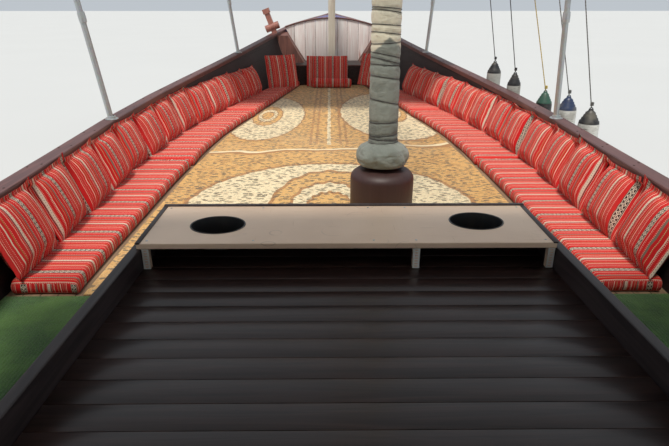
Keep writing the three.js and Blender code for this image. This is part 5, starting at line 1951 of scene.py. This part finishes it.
@dataclass
class Mast:
    """Mast in its canvas, bound with cord, on its drum."""

    foot: Point = (0.382, -0.86, 1.47)
    rake: float = math.radians(2.5)
    profile: tuple[tuple[float, float], ...] = (
        (0.1, 0.079), (0.15, 0.08), (0.18, 0.088), (0.204, 0.112), (0.216, 0.145), (0.219, 0.175),
        (0.213, 0.205), (0.196, 0.232), (0.17, 0.253), (0.142, 0.268), (0.124, 0.288), (0.1185, 0.32),
        (0.1185, 0.5), (0.118, 0.8), (0.1165, 1.2), (0.114, 2.5), (0.106, 2.54), (0.088, 2.555),
    )
    turns: tuple[tuple[float, float], ...] = (
        (0.286, 0.04), (0.31, -0.05), (0.345, 0.08), (0.447, 0.04), (0.605, -0.2), (0.79, -0.14),
        (0.885, -0.05), (0.914, -0.24), (0.955, -0.2), (1.044, 0.06), (1.114, -0.1), (1.173, -0.06),
        (1.27, -0.12), (1.29, -0.08), (1.45, 0.08), (1.62, -0.1), (1.8, 0.05), (1.98, -0.12), (2.15, 0.06),
        (2.32, -0.08), (2.46, 0.02),
    )
    around: int = 64
    collar_top: float = 0.45
    groove: float = 0.007
    groove_width: float = 0.011
    cord: float = 0.003

    def radius(self, height: float) -> float:
        """Gives the wrap's radius at a height above the mast's foot.

        Args:
            height: the height.

        Returns:
            The radius, in metres.
        """
        for (r0, h0), (r1, h1) in zip(self.profile, self.profile[1:]):
            if height <= h1:
                return r0 + (r1 - r0) * max(0.0, height - h0) / (h1 - h0)
        return self.profile[-1][0]

    def settled(self, bm: BMesh, verts: Iterable[BMVert]) -> None:
        """Leans pieces modelled upright at the origin to the mast's rake, and puts them on its foot.

        Args:
            bm: the bmesh.
            verts: the pieces' vertices.
        """
        verts = list(verts)
        bmesh.ops.rotate(bm, cent=(0, 0, 0), matrix=Matrix.Rotation(-self.rake, 3, "X"), verts=verts)
        bmesh.ops.translate(bm, vec=self.foot, verts=verts)

    def wrap(self) -> None:
        """Turns the canvas, gathers it under its cords and folds it into the collar."""
        heights = [self.profile[0][1]]
        while heights[-1] < self.profile[-1][1] - 0.013:
            heights.append(heights[-1] + (0.007 if heights[-1] < self.collar_top else 0.014))
        heights.append(self.profile[-1][1])
        bm = bmesh.new()
        made = add_turned(bm, [(self.radius(h), h) for h in heights], self.around)
        for v in made:
            flat = Vector((v.co.x, v.co.y, 0))
            way = flat.normalized()
            height = v.co.z
            angle = math.atan2(way.y, way.x)
            swell = 0.0
            for at, tilt in self.turns:
                gap = height - at - tilt * flat.x
                swell -= self.groove * math.exp(-(gap / self.groove_width) ** 2)
            folds = noise.noise(Vector((way.x * 3, way.y * 3, height * 14)))
            pucker = 1 - abs(noise.noise(Vector((way.x * 5, way.y * 5, height * 22 + 3))))
            swell += 0.003 * folds - 0.004 * max(0.0, pucker - 0.8) / 0.2
            if height < 0.28:
                share = clamped((height - 0.085) / 0.03) * clamped((0.3 - height) / 0.05)
                gather = abs(math.sin(4.5 * angle + 2.2 * noise.noise(Vector((way.x, way.y, height * 5)))))
                lump = noise.noise(Vector((way.x * 2.2, way.y * 2.2, height * 9 + 4)))
                ridge = noise.noise(Vector((way.x * 2.6 + 9, way.y * 2.6, height * 11)))
                crease = max(0.0, 1 - 3.2 * abs(ridge))
                swell += share * (0.016 * lump - 0.012 * (1 - gather) ** 3 - 0.009 * crease)
            v.co += way * swell
        self.settled(bm, made)
        soften(new_piece("mast_wrap", mesh_of(bm, 180), MAST_CANVAS.material(), "mast_canvas"))

    def cords(self) -> None:
        """Binds the canvas with its cords."""
        bm = bmesh.new()
        for at, tilt in self.turns:
            add_binding(bm, at, self.radius(at) - 0.004, self.cord, tilt)
        self.settled(bm, bm.verts)
        new_piece("mast_cords", mesh_of(bm, 60), BINDING.material())

    def drum(self) -> None:
        """Turns the mast's drum with its rolled upper edge."""
        low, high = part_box("mast_drum")
        tall = high.z - low.z
        r = (high.x - low.x) / 2
        bm = bmesh.new()
        made = add_turned(bm, [
            (0.0, 0.0), (r - 0.006, 0.0), (r - 0.003, 0.006), (r - 0.003, tall - 0.088),
            (r - 0.006, tall - 0.07), (r - 0.014, tall - 0.054), (r - 0.026, tall - 0.039),
            (r - 0.044, tall - 0.026), (r - 0.066, tall - 0.016), (r - 0.09, tall - 0.009),
            (r - 0.136, tall - 0.001), (0.08, tall - 0.001), (0.0, tall - 0.001),
        ], 64)
        bmesh.ops.translate(bm, vec=((low.x + high.x) / 2, (low.y + high.y) / 2, low.z), verts=made)
        new_piece("mast_drum_turned", mesh_of(bm, 50), DRUM_PAINT.material(), "mast_drum")

    def build(self) -> None:
        """Builds the mast's pieces and dresses its solids."""
        self.wrap()
        self.cords()
        self.drum()
        dress(["mast"], SPAR_TIMBER.material(), sharp=35)
        dress(["shrouds"], HEMP.material(), sharp=50)
        log.info("built the mast")


@dataclass
class Yard:
    """Yard with its sail furled along it."""

    low_end: Point = (0.052, 3.75, 4.78)
    high_end: Point = (0.052, -6.04, 10.13)
    sail_from: float = 0.5
    sail_to: float = 10.75
    hang: float = 0.085
    gaskets: int = 12
    rows: int = 180
    around: int = 32

    def girth(self, share: float) -> float:
        """Gives the furled sail's radius at a share of its length."""
        return 0.075 + 0.06 * math.sin(math.pi * min(1.0, share * 1.05)) ** 0.6

    def build(self) -> None:
        """Furls the sail under the yard and ties its gaskets."""
        start, end = Vector(self.low_end), Vector(self.high_end)
        way = (end - start).normalized()
        side = Vector((1, 0, 0))
        down = way.cross(side).normalized()
        down = down if down.z < 0 else -down
        length = self.sail_to - self.sail_from
        bm = bmesh.new()
        made = add_turned(bm, [(1.0, i / self.rows) for i in range(self.rows + 1)], self.around)
        ties = [(k + 0.5) / self.gaskets for k in range(self.gaskets)]
        for v in made:
            share = v.co.z
            angle = math.atan2(v.co.y, v.co.x)
            pinch = sum(math.exp(-((share - tie) * length / 0.09) ** 2) for tie in ties)
            radius = self.girth(share) * (1 - 0.22 * pinch)
            fold = noise.noise(Vector((math.cos(angle) * 2.4, math.sin(angle) * 2.4, share * 16)))
            roll = abs(math.sin(2.5 * angle + 3 * share))
            radius *= 1 + 0.14 * fold - 0.1 * (1 - roll) ** 3
            radius *= min(1.0, 0.25 + 14 * min(share, 1 - share))
            middle = start + way * (self.sail_from + share * length) + down * self.hang
            v.co = middle + radius * (math.cos(angle) * side + 1.25 * math.sin(angle) * down)
        rims = [e for e in bm.edges if e.is_boundary]
        bmesh.ops.holes_fill(bm, edges=rims)
        sail = new_piece("furled_sail", mesh_of(bm, 180), SAIL_CLOTH.material(), body="yard")
        soften(sail)
        bm = bmesh.new()
        for tie in ties:
            middle = start + way * (self.sail_from + tie * length) + down * (self.hang - 0.03)
            size = self.girth(tie)
            for offset in (-0.012, 0.012):
                wide, deep = size * 0.86 + 0.012, size * 1.08 + 0.03
                ring = [
                    middle + way * offset + wide * math.cos(a) * side + deep * math.sin(a) * down
                    for a in round_turn(28)
                ]
                add_sweep(bm, ring, 0.007, 6, closed=True)
        new_piece("sail_gaskets", mesh_of(bm, 60), HEMP.material(), body="yard")
        dress(["yard_and_sail"], SPAR_TIMBER.material(), sharp=35)
        log.info("furled the sail")


@dataclass
class Awnings:
    """Canopies stretched over their tube frames, with couplings and flanges on the poles."""

    thick: float = 0.004
    valance: float = 0.14
    sag: float = 0.03
    tube: float = 0.028
    cell: float = 0.05
    columns: int = 72
    bows: dict[str, tuple[float, ...]] = field(default_factory=lambda: {
        "awning_aft": (-9.0, -6.5, -4.8, -3.15), "awning_fore": (3.2, 5.0, 6.4),
    })
    poles: tuple[tuple[float, float, float], ...] = (
        (-9.0, -1.585, -1.62), (-9.0, 1.585, 1.62), (-6.5, -1.925, -1.98), (-6.5, 1.925, 1.98),
        (-3.15, -2.095, -2.12), (-3.15, 2.095, 2.12), (0.3, -2.245, -2.5), (0.3, 2.245, 2.15),
        (5.0, -1.68, -1.88), (5.0, 1.68, 1.81),
    )
    pole_top: float = 3.55

    def canopy(self, node: str) -> None:
        """Stretches one curved sheet over its bows, with a hanging hem.

        Args:
            node: the CAD canopy that it stands for.
        """
        low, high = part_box(node)
        tree = tree_of(node)
        rows = round((high.y - low.y) / self.cell)
        bm = bmesh.new()
        bmesh.ops.create_grid(bm, x_segments=self.columns, y_segments=rows, size=0.5)
        down = (0, 0, -1)
        limits = {}
        bows = self.bows[node]
        for v in bm.verts:
            y = low.y + 0.004 + (v.co.y + 0.5) * (high.y - low.y - 0.008)
            key = round(y, 4)
            if key not in limits:
                xs = [x / 200 for x in range(-460, 461) if struck(tree, (x / 200, y, 5), down)]
                limits[key] = (min(xs), max(xs))
            left, right = limits[key]
            x = left + (v.co.x + 0.5) * (right - left)
            z = struck(tree, (min(right, max(left, x)), y, 5), down).z
            after = [b for b in bows if b <= y]
            ahead = [b for b in bows if b > y]
            slack = 0.0
            if after and ahead:
                slack = math.sin(math.pi * (y - after[-1]) / (ahead[0] - after[-1]))
            wrinkle = 0.004 * noise.noise(Vector((x * 3, y * 1.4, 1.0)))
            belly = self.sag * slack * math.cos(math.pi * v.co.x)
            v.co = Vector((x, y, z - 0.006 - belly + wrinkle * slack))
        bmesh.ops.recalc_face_normals(bm, faces=bm.faces)
        edges = [e for e in bm.edges if e.is_boundary]
        for share in (0.33, 0.66, 1.0):
            grown = bmesh.ops.extrude_edge_only(bm, edges=edges)["geom"]
            edges = [e for e in grown if isinstance(e, bmesh.types.BMEdge) and e.is_boundary]
            fresh = [v for v in grown if isinstance(v, BMVert)]
            for v in fresh:
                ends = min(abs(v.co.y - low.y), abs(v.co.y - high.y)) < 0.02
                along = v.co.x if ends else v.co.y
                scallop = abs(math.sin(math.pi * along / 0.3)) ** 0.7
                v.co.z -= self.valance * (0.33 if share < 1 else 0.12 + 0.3 * scallop)
        area = sum(face.calc_area() for face in bm.faces)
        bmesh.ops.solidify(bm, geom=bm.faces[:], thickness=self.thick)
        piece = new_piece(f"{node}_cloth", mesh_of(bm, 60), AWNING_CLOTH.material(), node)
        log.info("stretched %s", node)

    def fittings(self) -> None:
        """Puts a flange at each pole's foot and a coupling on it."""
        bm = bmesh.new()
        bolt_head = [(0, 0.015), (0.006, 0.0145), (0.008, 0.011), (0.008, 0.006), (0, 0.006)]
        for y, foot_x, top_x in self.poles:
            foot = Vector((foot_x, y, rail_z(y)))
            top = Vector((top_x, y, self.pole_top))
            way = (top - foot).normalized()
            turn = Vector((0, 0, 1)).rotation_difference(way).to_matrix()
            r = self.tube
            flange = add_turned(bm, [
                (r, 0.034), (r + 0.012, 0.03), (r + 0.014, 0.012), (0.062, 0.008), (0.064, 0.004),
                (0.064, 0.0015), (r, 0.0015),
            ], 24)
            for k in range(3):
                bolt = add_turned(bm, bolt_head, 6)
                angle = 2 * math.pi * (k + 0.25) / 3
                bmesh.ops.translate(bm, vec=(0.05 * math.cos(angle), 0.05 * math.sin(angle), 0), verts=bolt)
                flange += bolt
            bmesh.ops.translate(bm, vec=foot, verts=flange)
            sleeve = add_turned(bm, [
                (r, -0.05), (r + 0.005, -0.048), (r + 0.007, -0.02), (r + 0.007, 0.02), (r + 0.005, 0.048),
                (r, 0.05),
            ], 20)
            bmesh.ops.rotate(bm, cent=(0, 0, 0), matrix=turn, verts=sleeve)
            bmesh.ops.translate(bm, vec=foot.lerp(top, 0.52), verts=sleeve)
        new_piece("pole_fittings", mesh_of(bm, 35), GALVANISED.material())

    def build(self) -> None:
        """Builds both awnings and dresses their frames."""
        for node in self.bows:
            self.canopy(node)
        self.fittings()
        dress(["awning_frame_aft", "awning_frame_fore"], GALVANISED.material(), sharp=50)


@dataclass
class Fender:
    """One fender on its line: its node's number, place, size and colours."""

    number: int
    y: float
    x: float
    height: float
    radius: float
    skin: FenderSkin
    line: LaidRope
    length: float = 0.62
    line_top: float = 3.522
    line_radius: float = 0.0055

    def build(self) -> None:
        """Turns the fender with its ribbed head and eye, and hangs it on its line."""
        node = f"fender_{self.number}"
        _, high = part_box(node)
        r = self.radius - 0.002
        bm = bmesh.new()
        foot = -self.length
        profile = [
            (0.0, foot + 0.004), (r * 0.3, foot + 0.008), (r * 0.62, foot + 0.022), (r * 0.86, foot + 0.055),
            (r * 0.97, foot + 0.09), (r, foot + 0.13), (r, -0.2), (r * 0.985, -0.14),
        ]
        profile += [(r * (0.94 - 0.075 * k) + (0.006 if k % 2 else 0.0), -0.12 + 0.014 * k) for k in range(8)]
        profile += [(0.03, -0.006), (0.024, 0.0), (0.022, 0.012), (0.0, 0.014)]
        made = add_turned(bm, profile, 40)
        loop = [Vector((0.016 * math.cos(a), 0, 0.012 + 0.014 * math.sin(a))) for a in round_turn(16)]
        before = set(bm.verts)
        add_sweep(bm, loop, 0.005, 8, closed=True)
        made += [v for v in bm.verts if v not in before]
        eye = Vector((self.x, self.y, DECK_Z + self.height))
        bmesh.ops.translate(bm, vec=eye, verts=made)
        new_piece(f"fender_body_{self.number}", mesh_of(bm, 50), self.skin.material(), node)
        top = Vector((self.head(high.z), self.y, self.line_top))
        path = [(eye + Vector((0, 0, 0.02))).lerp(top, k / 12) for k in range(13)]
        bm = bmesh.new()
        add_sweep(bm, path, self.line_radius, 8)
        for lift in (0.03, 0.042, 0.054):
            ring = [path[0] + Vector((0.012 * math.cos(a), 0.012 * math.sin(a), lift)) for a in round_turn(16)]
            add_sweep(bm, ring, 0.007, 6, closed=True)
        new_piece(f"fender_line_{self.number}", mesh_of(bm, 60), self.line.material(), node)
        log.info("hung fender %d", self.number)

    def head(self, level: float) -> float:
        """Gives the X where the line meets the side tube, from the CAD line's top.

        Args:
            level: the CAD node's greatest height.

        Returns:
            The X.
        """
        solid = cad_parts[f"fender_{self.number}"].data
        tops = [v.co.x for v in solid.vertices if v.co.z > level - 0.03]
        return sum(tops) / len(tops)


def fender_row() -> list[Fender]:
    """Gives the five fenders that hang along the starboard side.

    Returns:
        The fenders, from the bow aft.
    """
    grey, white, black = (0.42, 0.41, 0.37), (0.7, 0.69, 0.64), (0.02, 0.02, 0.022)
    navy, green = (0.02, 0.035, 0.09), (0.03, 0.09, 0.06)
    rows = (
        (2.7, 2.27, 0.9, 0.098, grey, black, 0.14, BLACK_LINE, None, 0.0),
        (2.0, 2.34, 0.83, 0.088, grey, black, 0.14, BLACK_LINE, None, 0.0),
        (1.4, 2.53, 0.69, 0.096, black, green, 0.12, YELLOW_LINE, None, 0.0),
        (0.8, 2.56, 0.73, 0.104, white, navy, 0.13, GREY_LINE, black, 0.5),
        (0.22, 2.55, 0.7, 0.104, white, black, 0.13, GREY_LINE, grey, 0.46),
    )
    fenders = []
    for number, (y, x, height, radius, body, head, split, line, foot, foot_split) in enumerate(rows, 1):
        eye = DECK_Z + height
        skin = FenderSkin(f"fender_skin_{number}", body, head, eye - split, foot, eye - foot_split)
        fenders.append(Fender(number, y, x, height, radius, skin, line))
    return fenders


class Poop:
    """Helm, bench and locker on the after deck."""

    def build(self) -> None:
        """Dresses the after deck's solids and adds the helm's compass and lever."""
        dress(["helm_console"], HELM_TIMBER.material(), 0.006)
        dress(["helm_wheel"], HELM_TIMBER.material(), sharp=40)
        dress(["helm_bench"], DECK_TIMBER.material(), 0.006)
        dress(["locker_door"], RAIL_VARNISH.material(), 0.004)
        low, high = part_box("helm_console")
        middle = (low.x + high.x) / 2
        bm = bmesh.new()
        bowl = add_turned(bm, [
            (0.0, 0.0), (0.075, 0.0), (0.08, 0.01), (0.075, 0.04), (0.055, 0.075), (0.025, 0.092),
            (0.0, 0.096),
        ], 32)
        bmesh.ops.translate(bm, vec=(middle, high.y - 0.1, high.z - 0.06), verts=bowl)
        lever = add_turned(bm, [
            (0.0, 0.0), (0.008, 0.0), (0.008, 0.11), (0.016, 0.12), (0.018, 0.135), (0.012, 0.15),
            (0.0, 0.153),
        ], 16)
        bmesh.ops.rotate(bm, cent=(0, 0, 0), matrix=Matrix.Rotation(0.35, 3, "X"), verts=lever)
        bmesh.ops.translate(bm, vec=(high.x - 0.03, high.y - 0.12, high.z - 0.07), verts=lever)
        new_piece("helm_fittings", mesh_of(bm, 40), STEEL.material())
        log.info("dressed the after deck")


# Studio


@dataclass
class Studio:
    """Floor at the waterline, soft light, and the camera of the photograph."""

    lens: float = 29.33
    eye: Point = (-0.05, -5.2, 2.82)
    pitch: float = 67.7
    yaw: float = -0.5
    floor_half: float = 150.0
    floor_tones: tuple[Colour, Colour] = ((0.55, 0.56, 0.56), (0.56, 0.57, 0.57))
    sky: Colour = (0.86, 0.93, 1.0)
    sky_strength: float = 0.6
    sun: Colour = (1.0, 0.95, 0.87)
    sun_energy: float = 3.2
    sun_softness: float = 12.0
    sun_turn: tuple[float, float] = (21.0, -6.0)

    def floor(self) -> None:
        """Lays the plain pale floor."""
        bm = bmesh.new()
        bmesh.ops.create_grid(bm, x_segments=1, y_segments=1, size=self.floor_half)
        data = mesh_of(bm)
        g = Graph("studio_floor")
        tone = g.noise(g.coords(), 0.2, 2.0)
        data.materials.append(g.done(g.mix(g.span(tone, 0.3, 0.7), *self.floor_tones), 0.8))
        floor = bpy.data.objects.new("studio_floor", data)
        bpy.context.scene.collection.objects.link(floor)

    def lights(self) -> None:
        """Hangs one soft key light high up and lets a pale sky fill the rest."""
        scene = bpy.context.scene
        scene.view_settings.view_transform = "Standard"
        world = bpy.data.worlds.new("studio_sky")
        scene.world = world
        world.use_nodes = True
        sky = world.node_tree.nodes["Background"]
        sky.inputs["Color"].default_value = (*self.sky, 1.0)
        sky.inputs["Strength"].default_value = self.sky_strength
        sun = bpy.data.lights.new("key", "SUN")
        sun.energy = self.sun_energy
        sun.angle = math.radians(self.sun_softness)
        sun.color = self.sun
        key = bpy.data.objects.new("key", sun)
        key.rotation_euler = (*(math.radians(turn) for turn in self.sun_turn), 0)
        scene.collection.objects.link(key)

    def camera(self) -> None:
        """Puts the camera at the photograph's viewing place."""
        lens = bpy.data.cameras.new("camera")
        lens.sensor_width = 36.0
        lens.lens = self.lens
        lens.clip_end = 400.0
        camera = bpy.data.objects.new("camera", lens)
        camera.location = self.eye
        camera.rotation_euler = (math.radians(self.pitch), 0, math.radians(self.yaw))
        bpy.context.scene.collection.objects.link(camera)
        bpy.context.scene.camera = camera


def main() -> None:
    """Builds and dresses the boat, assembly by assembly."""
    logging.basicConfig(level=logging.INFO, format="%(name)s: %(message)s")
    noise.seed_set(NOISE_SEED)
    studio = Studio()
    studio.camera()
    studio.floor()
    studio.lights()
    Hull().build()
    HatchTable().build()
    DeckCovers().build()
    SideSeats(Shell(), StripedWeave()).build()
    Bow().build()
    Mast().build()
    Yard().build()
    Awnings().build()
    for fender in fender_row():
        fender.build()
    Poop().build()


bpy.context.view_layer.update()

if __name__ == "__main__":
    main()
